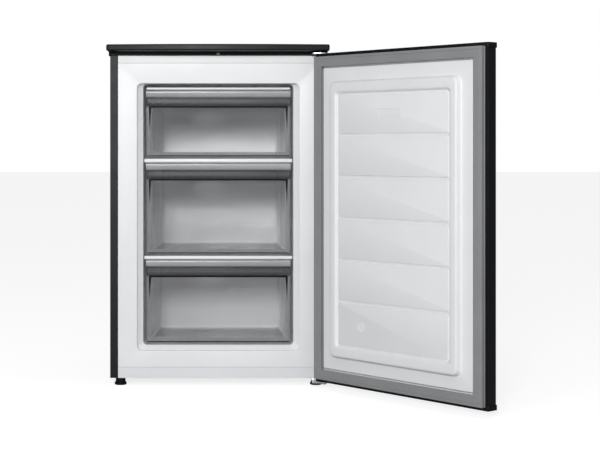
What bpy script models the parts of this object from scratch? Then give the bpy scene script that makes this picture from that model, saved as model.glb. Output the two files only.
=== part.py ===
"""Under-counter upright freezer: three clear drawers behind one right-hung door that stands open.

Metres, +Z up, +X to the right, +Y to the back. All sizes below are in the cabinet's own frame:
x = 0 is its middle, y = 0 its front face and z = 0 the floor. The door is drawn shut and turned
open on its hinge axis. The world origin is on the floor under the middle of the open freezer.
"""
from math import cos, pi, radians, sin

import bmesh
import bpy
from mathutils import Matrix, Vector

# Clearances and wall thicknesses
FIT = 0.0003
SHEET = 0.0008
LINER_WALL = 0.0018
CLEAR_WALL = 0.0024

# Cabinet
BODY_WIDTH = 0.540
BODY_DEPTH = 0.485
BODY_HEIGHT = 0.806
FOOT_HEIGHT = 0.019
SIDE_FLANGE = 0.0195
REAR_LIP = 0.015
TOP_RAIL = 0.019
BOTTOM_RAIL = 0.027
BODY_BOTTOM = FOOT_HEIGHT
BODY_TOP = FOOT_HEIGHT + BODY_HEIGHT
HALF_BODY = BODY_WIDTH / 2

# Worktop and the frame under it
FRAME_HEIGHT = 0.009
FRAME_SIDE = 0.004
FRAME_FRONT = 0.002
WORKTOP_THICKNESS = 0.016
WORKTOP_SIDE = 0.006
WORKTOP_FRONT = 0.0505
WORKTOP_BOW = 0.014
WORKTOP_CORNER = 0.006
WORKTOP_BACK = 0.004
PLUG_SIZE = (0.0075, 0.0018, 0.0050)
FRAME_TOP = BODY_TOP + FRAME_HEIGHT
WORKTOP_TOP = FRAME_TOP + WORKTOP_THICKNESS

# Frozen-food space in the liner
MOUTH_SIDE = 0.066
MOUTH_BOTTOM = 0.0855
MOUTH_TOP_MARGIN = 0.068
MOUTH_RADIUS = 0.013
MOUTH_LIP = 0.0015
COLLAR_DEPTH = 0.0105
FUNNEL_DEPTH = 0.023
FUNNEL_SIDE = 0.016
FUNNEL_END = 0.014
FUNNEL_TOP = 0.0020
SPACE_BACK_MARGIN = 0.055
SPACE_DRAFT = 0.002
SPACE_RADIUS = 0.010
SPACE_DEPTH = BODY_DEPTH - SPACE_BACK_MARGIN
MOUTH_HALF = HALF_BODY - MOUTH_SIDE
MOUTH_TOP = BODY_TOP - MOUTH_TOP_MARGIN
SPACE_HALF = MOUTH_HALF - FUNNEL_SIDE
SPACE_BOTTOM = MOUTH_BOTTOM + FUNNEL_END
SPACE_TOP = MOUTH_TOP - FUNNEL_TOP

# Compressor bay at the bottom of the back, and the liner's step over it
BAY_DEPTH = 0.125
BAY_TOP = 0.270
STEP_FOAM = 0.028
BAY_FRONT = BODY_DEPTH - BAY_DEPTH
STEP_FRONT = BAY_FRONT - STEP_FOAM
STEP_TOP = BAY_TOP + STEP_FOAM + 0.002
TRAY_SHEET = 0.0015
TRAY_LIP = 0.014

# Evaporator shelves: front trims, as shares of the space's height, and the coils behind them
LOW_SHELF_SHARE = 0.3267
MIDDLE_SHELF_SHARE = 0.6983
TOP_SHELF_GAP = 0.0085
TOP_TRIM_INSET = 0.007
TRIM_HEIGHTS = {"top": 0.006, "middle": 0.010, "low": 0.009}
TRIM_FRONT = 0.0235
TRIM_DEPTH = 0.012
TRIM_GAP = 0.0015
COIL_TUBE = 0.0026
COIL_PASSES = 8
COIL_BACK = 0.022
COIL_SIDE = 0.012
COIL_BEND = 4
STRAP = 0.0035
STRAP_SHARE = 0.55
SHELF_UNDERSIDES = {
    "top": SPACE_TOP - TOP_SHELF_GAP - TRIM_HEIGHTS["top"],
    "middle": SPACE_BOTTOM + MIDDLE_SHELF_SHARE * (SPACE_TOP - SPACE_BOTTOM),
    "low": SPACE_BOTTOM + LOW_SHELF_SHARE * (SPACE_TOP - SPACE_BOTTOM),
}

# Drawers
DRAWER_SIDE_GAP = 0.006
DRAWER_GAP = 0.0015
DRAWER_LIFT = 0.0015
FRONT_FACE = 0.0245
GRIP_LEDGE = 0.011
GRIP_BAND = 0.040
GRIP_DEPTH = 0.016
WINDOW_SETBACK = 0.003
TUB_TAPER = 0.016
TUB_RIM_DROP = 0.014
TUB_RADIUS = 0.012
TUB_BACK_GAP = 0.010
FRONT_HALF = SPACE_HALF - DRAWER_SIDE_GAP
TUB_FRONT = FRONT_FACE + WINDOW_SETBACK + GRIP_DEPTH + CLEAR_WALL + FIT

# Door, drawn shut
DOOR_OVERHANG = 0.002
DOOR_THICKNESS = 0.0293
DOOR_BOTTOM = 0.0180
DOOR_TOP_GAP = 0.0072
DOOR_ANGLE = 130.5
CAP_HEIGHT = 0.012
CAP_BULGE = 0.002
SKIN_LIP = 0.008
GASKET_HEIGHT = 0.0136
GASKET_WIDTH = 0.025
GASKET_SIDE = 0.007
GASKET_END = 0.0085
FLANGE_RISE = 0.0086
FLANGE_SLOPE = 0.002
PLINTH_HEIGHT = 0.014
PLINTH_SIDE = 0.069
PLINTH_END = 0.0690
PLINTH_TOP_END = 0.0710
PLINTH_SLOPE = 0.003
PLINTH_RIM_SIDE = 0.0185
PLINTH_RIM_END = 0.0235
RECESS_DEPTH = 0.0062
RECESS_SLOPE = 0.004
PAD_COUNT = 6
PAD_HEIGHT = 0.0022
PAD_GROOVE = 0.0055
PAD_MARGIN = 0.003
LOW_PAD_SHARE = 0.178
GRIP_HALF = 0.100
GRIP_WALL = 0.005
GRIP_TROUGH = 0.018
GRIP_DROP = 0.009
LIP_DROP = 0.004
HALF_DOOR = HALF_BODY + DOOR_OVERHANG
DOOR_TOP = FRAME_TOP - DOOR_TOP_GAP
DOOR_INNER = -GASKET_HEIGHT
DOOR_OUTER = DOOR_INNER - DOOR_THICKNESS

# Hinges
HINGE_INSET = 0.007
HINGE_Y = -0.034
PIN_RADIUS = 0.003
PIN_REACH = 0.009
PIN_HEAD = 0.0025
BUSH_RADIUS = 0.0055
BRACKET_PLATE = 0.0025
BRACKET_GAP = 0.0006
BRACKET_NOSE = 0.009
BRACKET_INSIDE = 0.030
BRACKET_OUTSIDE = 0.0075
BRACKET_BACK = 0.048
STOP_PLATE = 0.0018
STOP_REACH = 0.054
STOP_WIDTH = 0.018
SCREW_HEAD = 0.0035
SCREW_SHANK = 0.0018
SCREW_HEIGHT = 0.0016
SCREW_TAPER = 0.85
HINGE_SCREW_OFFSETS = (-0.0165, 0.0015)
HINGE_SCREW_BACK = 0.0055
STEP_BACK = 0.003
STOP_SCREW_SHARES = (0.68, 0.87)
HINGE_X = HALF_BODY - HINGE_INSET
STOP_TOP = DOOR_BOTTOM - FIT
BRACKET_UNDER = STOP_TOP - STOP_PLATE - BRACKET_GAP - BRACKET_PLATE

# Feet
FOOT_RADIUS = 0.0148
FOOT_PAD = 0.0145
FOOT_STEM = 0.004
STEM_LENGTH = 0.030
FOOT_WAIST = 0.78
FOOT_INSET = 0.0247
FOOT_SETBACK = 0.0205
REAR_FOOT_SETBACK = 0.030

# Cooling circuit
COMPRESSOR_RADIUS = 0.058
COMPRESSOR_HEIGHT = 0.150
COMPRESSOR_X = -0.070
COMPRESSOR_PLATE = (0.190, 0.098, 0.002)
GROMMET_RADIUS = 0.009
GROMMET_HEIGHT = 0.012
GROMMET_SPACING = (0.160, 0.076)
CONDENSER_GAP = 0.018
CONDENSER_SIDE = 0.055
CONDENSER_MARGIN = 0.035
CONDENSER_TUBE = 0.0024
CONDENSER_PASSES = 9
PIPE_RADIUS = 0.0030
DRIER_RADIUS = 0.009
DRIER_LENGTH = 0.080
DRIER_GAP = 0.044
STRAP_SHARE_BACK = 0.62
CONDENSER_HALF = HALF_BODY - CONDENSER_SIDE

# Control box in the bay
CONTROL_SIZE = (0.095, 0.055, 0.075)
CONTROL_SIDE = 0.030
KNOB_RADIUS = 0.016
KNOB_HEIGHT = 0.013
INLET_RADIUS = 0.008
INLET_LENGTH = 0.012

# Finishes: colour, roughness, metallic
FINISHES = {
    "black_paint": ((0.012, 0.012, 0.013), 0.45, 0.0),
    "black_plastic": ((0.018, 0.018, 0.019), 0.50, 0.0),
    "worktop": ((0.040, 0.041, 0.043), 0.38, 0.0),
    "white_plastic": ((0.80, 0.81, 0.82), 0.40, 0.0),
    "white_coating": ((0.82, 0.83, 0.84), 0.45, 0.0),
    "foam": ((0.72, 0.62, 0.38), 0.90, 0.0),
    "galvanised": ((0.50, 0.51, 0.52), 0.42, 1.0),
    "bright_steel": ((0.60, 0.61, 0.62), 0.30, 1.0),
    "rubber": ((0.270, 0.275, 0.285), 0.70, 0.0),
    "dark_rubber": ((0.020, 0.020, 0.020), 0.80, 0.0),
    "smoke": ((0.30, 0.32, 0.34), 0.12, 0.0),
    "copper": ((0.72, 0.38, 0.24), 0.35, 1.0),
    "grey_plastic": ((0.32, 0.33, 0.34), 0.50, 0.0),
}


def clear_scene():
    for obj in list(bpy.data.objects):
        bpy.data.objects.remove(obj)


def new_collection(name, hidden):
    made = bpy.data.collections.new(name)
    made.hide_render = hidden
    bpy.context.scene.collection.children.link(made)
    return made


def new_material(name):
    colour, roughness, metallic = FINISHES[name]
    made = bpy.data.materials.new(name)
    made.use_nodes = True
    shader = made.node_tree.nodes["Principled BSDF"]
    shader.inputs["Base Color"].default_value = (*colour, 1.0)
    shader.inputs["Roughness"].default_value = roughness
    shader.inputs["Metallic"].default_value = metallic
    return made


def new_empty(name, owner, location):
    made = bpy.data.objects.new(name, None)
    PARTS.objects.link(made)
    made.parent = owner
    made.location = location
    return made


def add(name, data, finish, owner, at=(0, 0, 0)):
    """A part whose data is in the cabinet's frame, moved by at, under its owner."""
    made = bpy.data.objects.new(name, data)
    PARTS.objects.link(made)
    made.parent = owner
    carried = Vector((0, 0, 0)) if owner == FREEZER else owner.location
    made.location = Vector(at) - carried
    if not data.materials:
        data.materials.append(new_material_once(finish))
    return made


def new_material_once(name):
    return bpy.data.materials.get(name) or new_material(name)


def as_cutter(obj):
    PARTS.objects.unlink(obj)
    CUTTERS.objects.link(obj)
    obj.hide_render = True
    obj.display_type = "WIRE"
    return obj


def boolean(obj, other, operation):
    made = obj.modifiers.new(operation.title() + " " + other.name, "BOOLEAN")
    made.operation = operation
    made.object = other
    made.solver = "EXACT"
    if other.name in PARTS.objects:
        as_cutter(other)


def cut(obj, *others):
    for other in others:
        boolean(obj, other, "DIFFERENCE")


def join(obj, *others):
    for other in others:
        boolean(obj, other, "UNION")


def round_edges(obj, width, segments=2, angle=35):
    made = obj.modifiers.new("Round edges", "BEVEL")
    made.width = width
    made.segments = segments
    made.limit_method = "ANGLE"
    made.angle_limit = radians(angle)
    return obj


def smooth(mesh, angle=40):
    mesh.shade_smooth()
    mesh.set_sharp_from_angle(angle=radians(angle))
    return mesh


def finished(name, shape):
    """The mesh of a bmesh, its faces turned outwards."""
    bmesh.ops.recalc_face_normals(shape, faces=shape.faces)
    mesh = bpy.data.meshes.new(name)
    shape.to_mesh(mesh)
    shape.free()
    return mesh


def box(name, low, high, finish, owner):
    shape = bmesh.new()
    middle = (Vector(low) + Vector(high)) / 2
    size = Vector(high) - Vector(low)
    place = Matrix.Translation(middle) @ Matrix.Diagonal((*size, 1))
    bmesh.ops.create_cube(shape, size=1, matrix=place)
    return add(name, finished(name, shape), finish, owner)


def cylinder(name, centre, radius, length, finish, owner, segments=20):
    """A round bar standing on centre and running up."""
    shape = bmesh.new()
    place = Matrix.Translation((0, 0, length / 2))
    bmesh.ops.create_cone(
        shape, cap_ends=True, segments=segments, radius1=radius, radius2=radius,
        depth=length, matrix=place,
    )
    return add(name, smooth(finished(name, shape)), finish, owner, centre)


def turned(name, profile, finish, owner, at, steps=20, lay_back=False):
    """A profile of (radius, height) from its top on the axis to its foot, turned about Z."""
    shape = bmesh.new()
    points = [shape.verts.new((radius, 0, height)) for radius, height in profile]
    for first, second in zip(points, points[1:]):
        shape.edges.new((first, second))
    mesh = bpy.data.meshes.new(name)
    shape.to_mesh(mesh)
    shape.free()
    made = add(name, mesh, finish, owner, at)
    screw = made.modifiers.new("Turn", "SCREW")
    screw.steps = steps
    screw.render_steps = steps
    screw.use_merge_vertices = True
    screw.merge_threshold = 0.00001
    screw.use_smooth_shade = True
    if lay_back:
        made.rotation_euler = (radians(-90), 0, 0)
    return made


def as_mesh(curve):
    """The same object with the curve's shape as a welded mesh."""
    name = curve.name
    bpy.context.view_layer.update()
    graph = bpy.context.evaluated_depsgraph_get()
    mesh = bpy.data.meshes.new_from_object(curve.evaluated_get(graph))
    shape = bmesh.new()
    shape.from_mesh(mesh)
    bmesh.ops.remove_doubles(shape, verts=shape.verts, dist=0.00001)
    bmesh.ops.recalc_face_normals(shape, faces=shape.faces)
    shape.to_mesh(mesh)
    shape.free()
    made = bpy.data.objects.new(name, mesh)
    PARTS.objects.link(made)
    made.parent = curve.parent
    made.location = curve.location
    bpy.data.objects.remove(curve)
    made.name = name
    return made


def prism(name, outline, low, high, along, finish, owner):
    """A flat outline drawn out along X, Y or Z from low to high.

    The outline's pairs are (y, z) along X, (z, x) along Y and (x, y) along Z.
    """
    curve = bpy.data.curves.new(name, "CURVE")
    curve.dimensions = "2D"
    curve.fill_mode = "BOTH"
    curve.extrude = (high - low) / 2
    line = curve.splines.new("POLY")
    line.points.add(len(outline) - 1)
    line.use_cyclic_u = True
    for point, (first, second) in zip(line.points, outline):
        point.co = (first, second, 0, 1)
    made = as_mesh(add(name, curve, finish, owner))
    turn = {
        "X": Matrix(((0, 0, 1, 0), (1, 0, 0, 0), (0, 1, 0, 0), (0, 0, 0, 1))),
        "Y": Matrix(((0, 1, 0, 0), (0, 0, 1, 0), (1, 0, 0, 0), (0, 0, 0, 1))),
        "Z": Matrix.Identity(4),
    }[along]
    made.data.transform(turn @ Matrix.Translation((0, 0, (low + high) / 2)))
    return made


def tube(name, points, radius, finish, owner):
    curve = bpy.data.curves.new(name, "CURVE")
    curve.dimensions = "3D"
    curve.bevel_depth = radius
    curve.bevel_resolution = 2
    curve.use_fill_caps = True
    line = curve.splines.new("POLY")
    line.points.add(len(points) - 1)
    for point, place in zip(line.points, points):
        point.co = (*place, 1)
    made = as_mesh(add(name, curve, finish, owner))
    smooth(made.data, 60)
    return made


def sheet_outline(path, thickness):
    """The closed outline of a bent sheet: the path, and the path moved to its left."""
    path = [Vector(point) for point in path]
    moved = []
    for index, point in enumerate(path):
        sides = []
        if index > 0:
            sides.append(path[index] - path[index - 1])
        if index < len(path) - 1:
            sides.append(path[index + 1] - path[index])
        lefts = [Vector((-side.y, side.x)).normalized() for side in sides]
        mitre = sum(lefts, Vector((0, 0))) / len(lefts)
        moved.append(point + mitre * thickness / mitre.length_squared)
    return path + moved[::-1]


def rounded(corners, radius, steps=3):
    """A convex outline with each corner, given anticlockwise, turned to an arc."""
    outline = []
    count = len(corners)
    for index, corner in enumerate(corners):
        corner = Vector(corner)
        before = (Vector(corners[index - 1]) - corner).normalized()
        after = (Vector(corners[(index + 1) % count]) - corner).normalized()
        half = before.angle(after) / 2
        centre = corner + (before + after).normalized() * radius / sin(half)
        start = corner + before * radius / abs(sin(half) / cos(half)) - centre
        sweep = pi - 2 * half
        for step in range(steps + 1):
            turn = Matrix.Rotation(sweep * step / steps, 2)
            outline.append(centre + turn @ start)
    return outline


def loft(name, rings, finish, owner):
    """A solid through rings of equally many points, closed by a face at each end."""
    shape = bmesh.new()
    loops = [[shape.verts.new(point) for point in ring] for ring in rings]
    shape.faces.new(loops[0])
    shape.faces.new(loops[-1])
    for lower, upper in zip(loops, loops[1:]):
        for index in range(len(lower)):
            following = (index + 1) % len(lower)
            corners = (lower[index], lower[following], upper[following], upper[index])
            shape.faces.new(corners)
    return add(name, finished(name, shape), finish, owner)


def upright_ring(half, bottom, top, radius, y):
    """A rounded rectangle facing along Y."""
    corners = ((-half, bottom), (half, bottom), (half, top), (-half, top))
    return [(x, y, z) for x, z in rounded(corners, radius)]


def moved_frames(frames, distance):
    """Frames (half, bottom, top, radius, y) of a surface, moved along its normal.

    The surface runs inwards from its first frame and is closed by a flat face at its last.
    A positive distance moves a flat face towards +Y.
    """
    moved = []
    for index, (half, bottom, top, radius, y) in enumerate(frames):
        sides = []
        if index > 0:
            sides.append(Vector((half - frames[index - 1][0], y - frames[index - 1][4])))
        if index < len(frames) - 1:
            sides.append(Vector((frames[index + 1][0] - half, frames[index + 1][4] - y)))
        else:
            sides.append(Vector((-1, 0)))
        normals = [Vector((side.y, -side.x)).normalized() for side in sides]
        mitre = sum(normals, Vector((0, 0))) / len(normals)
        shift = mitre * distance / mitre.length_squared
        wider = shift.x
        corner = max(radius + wider, 0.001)
        moved.append((half + wider, bottom - wider, top + wider, corner, y + shift.y))
    return moved


def shell(name, frames, wall, finish, owner):
    """A thin tray: the surface through the frames, and the same surface moved by the wall."""
    back = moved_frames(frames, wall)
    back[0] = (frames[0][0], frames[0][1], frames[0][2], frames[0][3], back[0][4])
    rings = [upright_ring(*frame) for frame in back[::-1] + frames]
    return loft(name, rings, finish, owner)


def serpentine(half, start, pitch, passes):
    """Points (across, along) of a tube that runs to and fro, with round bends."""
    points = []
    bend = pitch / 2
    for index in range(passes):
        side = 1 if index % 2 == 0 else -1
        along = start + index * pitch
        points.append((-side * (half - bend), along))
        points.append((side * (half - bend), along))
        if index == passes - 1:
            break
        for step in range(1, COIL_BEND):
            angle = pi * step / COIL_BEND
            across = side * (half - bend + bend * sin(angle))
            points.append((across, along + bend - bend * cos(angle)))
    return points


def bore(name, x, y, low, high, radius, owner):
    return as_cutter(
        cylinder(name, (x, y, low), radius + FIT, high - low, "galvanised", owner, 16)
    )


# Cabinet


def side_panel(name, side):
    """A side wall with its front flange and rear lip, bent from one sheet."""
    top = BODY_TOP - FIT
    path = [
        (HALF_BODY - SIDE_FLANGE, 0),
        (HALF_BODY, 0),
        (HALF_BODY, BODY_DEPTH),
        (HALF_BODY - REAR_LIP, BODY_DEPTH),
    ]
    outline = sheet_outline(path, SHEET)
    if side < 0:
        outline = [(-x, y) for x, y in outline][::-1]
    return prism(name, outline, BODY_BOTTOM, top, "Z", "black_paint", FREEZER)


def front_rails():
    half = HALF_BODY - SIDE_FLANGE - FIT
    seam = BODY_TOP - TOP_RAIL
    rails = {
        "top_front_rail": (seam + FIT, BODY_TOP - FIT),
        "bottom_front_rail": (BODY_BOTTOM, BODY_BOTTOM + BOTTOM_RAIL - FIT),
    }
    for name, (low, high) in rails.items():
        made = box(name, (-half, 0, low), (half, LINER_WALL, high), "white_coating", FREEZER)
        round_edges(made, 0.0004, 1)


def liner_frames():
    """The liner's inner surface from the edge of its front flange to the back wall."""
    half = HALF_BODY - SIDE_FLANGE - FIT
    low = BODY_BOTTOM + BOTTOM_RAIL + FIT
    high = BODY_TOP - TOP_RAIL - FIT
    narrow = SPACE_HALF - SPACE_DRAFT
    lip = MOUTH_LIP
    collar = (MOUTH_HALF - lip, MOUTH_BOTTOM + lip, MOUTH_TOP - lip, MOUTH_RADIUS)
    return [
        (half, low, high, 0.0005, 0),
        (MOUTH_HALF, MOUTH_BOTTOM, MOUTH_TOP, MOUTH_RADIUS, 0),
        (*collar, lip),
        (*collar, COLLAR_DEPTH),
        (SPACE_HALF, SPACE_BOTTOM, SPACE_TOP, SPACE_RADIUS, FUNNEL_DEPTH),
        (narrow, SPACE_BOTTOM, SPACE_TOP, SPACE_RADIUS, SPACE_DEPTH),
    ]


def step_block(name, outward):
    """What the compressor bay takes out of the frozen-food space, moved by outward."""
    low = (-HALF_BODY, STEP_FRONT + outward, BODY_BOTTOM)
    high = (HALF_BODY, BODY_DEPTH, STEP_TOP - outward)
    return as_cutter(box(name, low, high, "foam", FREEZER))


def liner():
    """White inner liner: front flange, funnel, walls, and a step over the compressor bay."""
    made = shell("inner_liner", liner_frames(), LINER_WALL, "white_plastic", FREEZER)
    cut(made, step_block("step_cutter", 0))
    half = SPACE_HALF - SPACE_DRAFT + LINER_WALL / 2
    path = [
        (STEP_FRONT, SPACE_BOTTOM - LINER_WALL / 2),
        (STEP_FRONT, STEP_TOP),
        (SPACE_DEPTH + LINER_WALL / 2, STEP_TOP),
    ]
    outline = sheet_outline(path[::-1], LINER_WALL)
    step = prism("liner_step", outline, -half, half, "X", "white_plastic", FREEZER)
    core = moved_frames(liner_frames(), LINER_WALL / 2)[1:]
    within = loft("step_ends", [upright_ring(*frame) for frame in core], "foam", FREEZER)
    boolean(step, within, "INTERSECT")
    join(made, step)
    return made


def cabinet_foam():
    """Insulation between the liner and the shell, above and before the compressor bay."""
    half = HALF_BODY - SHEET - FIT
    low = (-half, LINER_WALL + FIT, BODY_BOTTOM + SHEET + FIT)
    high = (half, BODY_DEPTH - SHEET - FIT, BODY_TOP - FIT)
    made = box("cabinet_foam", low, high, "foam", FREEZER)
    around = moved_frames(liner_frames(), LINER_WALL + FIT)
    around[0] = (*around[1][:4], LINER_WALL / 2)
    hollow = loft("space_cutter", [upright_ring(*frame) for frame in around], "foam", FREEZER)
    cut(hollow, step_block("foam_step_cutter", LINER_WALL + FIT))
    bay = box(
        "bay_cutter",
        (-HALF_BODY, BAY_FRONT - SHEET - FIT, 0),
        (HALF_BODY, BODY_DEPTH, BAY_TOP + SHEET + FIT),
        "foam",
        FREEZER,
    )
    cut(made, hollow, bay)
    return made


def bay_panel():
    """Bent sheet in front of and over the compressor."""
    half = HALF_BODY - SHEET - FIT
    path = [
        (BAY_FRONT, BODY_BOTTOM + TRAY_SHEET + FIT),
        (BAY_FRONT, BAY_TOP),
        (BODY_DEPTH - SHEET - FIT, BAY_TOP),
    ]
    outline = sheet_outline(path, SHEET)
    return prism("bay_panel", outline, -half, half, "X", "galvanised", FREEZER)


def back_panel():
    half = HALF_BODY - REAR_LIP - FIT
    low = (-half, BODY_DEPTH - SHEET, BAY_TOP)
    high = (half, BODY_DEPTH, BODY_TOP - FIT)
    return box("back_panel", low, high, "galvanised", FREEZER)


def bottom_panel():
    half = HALF_BODY - SHEET - FIT
    low = (-half, LINER_WALL + FIT, BODY_BOTTOM)
    high = (half, BAY_FRONT - SHEET - 2 * FIT, BODY_BOTTOM + SHEET)
    return box("bottom_panel", low, high, "galvanised", FREEZER)


def compressor_tray():
    """Cross channel under the bay; the compressor and the rear feet stand on it."""
    half = HALF_BODY - SHEET - FIT
    front = BAY_FRONT + FIT
    back = BODY_DEPTH - SHEET - FIT
    path = [
        (back, BODY_BOTTOM + TRAY_LIP),
        (back, BODY_BOTTOM),
        (front, BODY_BOTTOM),
        (front, BODY_BOTTOM + TRAY_LIP),
    ]
    outline = sheet_outline(path[::-1], TRAY_SHEET)
    return prism("compressor_tray", outline, -half, half, "X", "galvanised", FREEZER)


def worktop_outline():
    """Straight back and sides, and a front that bows forward between them."""
    half = HALF_BODY + WORKTOP_SIDE
    back = BODY_DEPTH + WORKTOP_BACK
    corner = WORKTOP_CORNER
    bow_half = half - corner
    radius = (bow_half ** 2 + WORKTOP_BOW ** 2) / (2 * WORKTOP_BOW)
    reach = 10
    outline = [(half, -WORKTOP_FRONT + corner), (half, back), (-half, back)]
    outline.append((-half, -WORKTOP_FRONT + corner))
    for step in range(1, 3):
        angle = pi / 2 * step / 3
        x = -half + corner - corner * cos(angle)
        outline.append((x, -WORKTOP_FRONT + corner - corner * sin(angle)))
    for step in range(-reach, reach + 1):
        x = bow_half * step / reach
        y = -WORKTOP_FRONT - WORKTOP_BOW + radius - (radius ** 2 - x ** 2) ** 0.5
        outline.append((x, y))
    for step in range(1, 3):
        angle = pi / 2 * step / 3
        x = half - corner + corner * sin(angle)
        outline.append((x, -WORKTOP_FRONT + corner - corner * cos(angle)))
    return outline


def worktop():
    made = prism(
        "worktop", worktop_outline(), FRAME_TOP + FIT, WORKTOP_TOP, "Z", "worktop", FREEZER
    )
    return round_edges(made, 0.0015, 2, 60)


def worktop_frame():
    half = HALF_BODY + FRAME_SIDE
    corners = ((-half, -FRAME_FRONT), (half, -FRAME_FRONT), (half, BODY_DEPTH), (-half, BODY_DEPTH))
    outline = rounded(corners, WORKTOP_CORNER)
    return prism("worktop_frame", outline, BODY_TOP, FRAME_TOP, "Z", "black_plastic", FREEZER)


def frame_plug():
    width, depth, height = PLUG_SIZE
    middle = BODY_TOP + FRAME_HEIGHT / 2
    back = -FRAME_FRONT - FIT
    low = (-width / 2, back - depth, middle - height / 2)
    high = (width / 2, back, middle + height / 2)
    return round_edges(box("frame_plug", low, high, "grey_plastic", FREEZER), 0.0007)


# Shelves and drawers


def shelf(level):
    """Front trim bar of one evaporator shelf, and the coil with its straps behind it."""
    height = TRIM_HEIGHTS[level]
    low = SHELF_UNDERSIDES[level]
    half = SPACE_HALF - (TOP_TRIM_INSET if level == "top" else TRIM_GAP)
    back = TRIM_FRONT + TRIM_DEPTH
    trim = box(
        level + "_shelf_trim", (-half, TRIM_FRONT, low), (half, back, low + height),
        "white_plastic", FREEZER,
    )
    round_edges(trim, 0.001)
    first = back + FIT + STRAP + COIL_TUBE
    last = SPACE_DEPTH - COIL_BACK
    pitch = (last - first) / (COIL_PASSES - 1)
    middle = low + height / 2
    route = serpentine(half - COIL_SIDE, first, pitch, COIL_PASSES)
    coil = tube(
        level + "_evaporator_coil", [(x, y, middle) for x, y in route],
        COIL_TUBE, "white_coating", FREEZER,
    )
    for index, x in enumerate((-STRAP_SHARE * half, 0, STRAP_SHARE * half)):
        strap = box(
            f"{level}_strap_{index}",
            (x - STRAP, back + FIT, middle - COIL_TUBE + 0.0002),
            (x + STRAP, last + COIL_TUBE, middle - COIL_TUBE / 3),
            "white_coating",
            FREEZER,
        )
        join(coil, strap)


def drawer_sizes():
    """Each drawer's owner name with its floor, its front's top and the room behind it."""
    low_top = SHELF_UNDERSIDES["low"] + TRIM_HEIGHTS["low"]
    middle_top = SHELF_UNDERSIDES["middle"] + TRIM_HEIGHTS["middle"]
    return {
        "top": (middle_top + DRAWER_LIFT, SHELF_UNDERSIDES["top"], SPACE_DEPTH),
        "middle": (low_top + DRAWER_LIFT, SHELF_UNDERSIDES["middle"], SPACE_DEPTH),
        "bottom": (SPACE_BOTTOM + DRAWER_LIFT, SHELF_UNDERSIDES["low"], STEP_FRONT),
    }


def plan_ring(front, back, near, far, radius, z):
    """A rounded outline seen from above, half-width front at near and back at far."""
    corners = ((-front, near), (front, near), (back, far), (-back, far))
    return [(x, y, z) for x, y in rounded(corners, radius)]


def tub(name, bottom, rim, back, owner):
    """A clear open box, narrower to the back and with a rounded foot."""
    wide = FRONT_HALF - FIT
    narrow = wide - TUB_TAPER
    foot = TUB_RADIUS / 2
    wall = CLEAR_WALL
    far = back - TUB_BACK_GAP
    near = TUB_FRONT
    radius = TUB_RADIUS
    rings = [
        plan_ring(wide - foot, narrow - foot, near + foot, far - foot, radius, bottom),
        plan_ring(wide, narrow, near, far, radius, bottom + foot),
        plan_ring(wide, narrow, near, far, radius, rim),
        plan_ring(wide - wall, narrow - wall, near + wall, far - wall, radius - wall, rim),
        plan_ring(
            wide - wall, narrow - wall, near + wall, far - wall, radius - wall, bottom + foot
        ),
        plan_ring(
            wide - foot, narrow - foot, near + foot, far - foot, radius - wall, bottom + wall
        ),
    ]
    return loft(name, rings, "smoke", owner)


def drawer_front(name, bottom, top, owner):
    """Front panel: a ledge to pull on, a hollow under it for the fingers, and the window."""
    window = FRONT_FACE + WINDOW_SETBACK
    hollow = window + GRIP_DEPTH
    band = top - GRIP_BAND
    path = [
        (window, bottom),
        (window, band),
        (hollow, band + 0.006),
        (hollow, top - GRIP_LEDGE),
        (FRONT_FACE, top - GRIP_LEDGE + 0.002),
        (FRONT_FACE, top),
    ]
    outline = sheet_outline(path[::-1], CLEAR_WALL)
    return prism(name, outline, -FRONT_HALF, FRONT_HALF, "X", "smoke", owner)


def drawer(level, floor, ceiling, back):
    owner = new_empty(level + "_drawer_slide", FREEZER, (0, FRONT_FACE, floor))
    top = ceiling - DRAWER_GAP
    tub(level + "_drawer_tub", floor, top - TUB_RIM_DROP, back, owner)
    drawer_front(level + "_drawer_front", floor + DRAWER_GAP, top, owner)


# Feet


def foot(name, x, y, owner, crown, stem):
    """Round levelling foot; only the front ones have a threaded stem."""
    waist = FOOT_RADIUS * FOOT_WAIST
    low = min(FOOT_PAD, crown) * 0.62
    profile = [
        (0, stem),
        (FOOT_STEM, stem),
        (FOOT_STEM, crown),
        (waist, crown),
        (waist, low),
        (FOOT_RADIUS, low * 0.73),
        (FOOT_RADIUS, 0.0012),
        (FOOT_RADIUS - 0.0012, 0),
        (0, 0),
    ]
    if stem <= crown:
        profile = [(0, crown)] + profile[3:]
    return turned(name, profile, "black_plastic", owner, (x, y, 0))


def feet():
    """The right front foot screws up through the bottom hinge's bracket."""
    x = HALF_BODY - FOOT_INSET
    rear = BODY_DEPTH - REAR_FOOT_SETBACK
    top = FOOT_HEIGHT + STEM_LENGTH
    bores = {}
    for side, sign, seat in (("left", -1, FOOT_HEIGHT), ("right", 1, BRACKET_UNDER)):
        owner = new_empty(f"front_{side}_foot_slide", FREEZER, (sign * x, FOOT_SETBACK, 0))
        foot(f"front_{side}_foot", sign * x, FOOT_SETBACK, owner, seat - FIT, top)
        foot(f"rear_{side}_foot", sign * x, rear, FREEZER, FOOT_HEIGHT - FIT, 0)
        bores[side] = bore(
            f"{side}_stem_bore", sign * x, FOOT_SETBACK, 0, top + FIT, FOOT_STEM, FREEZER
        )
    return bores


# Door


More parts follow.
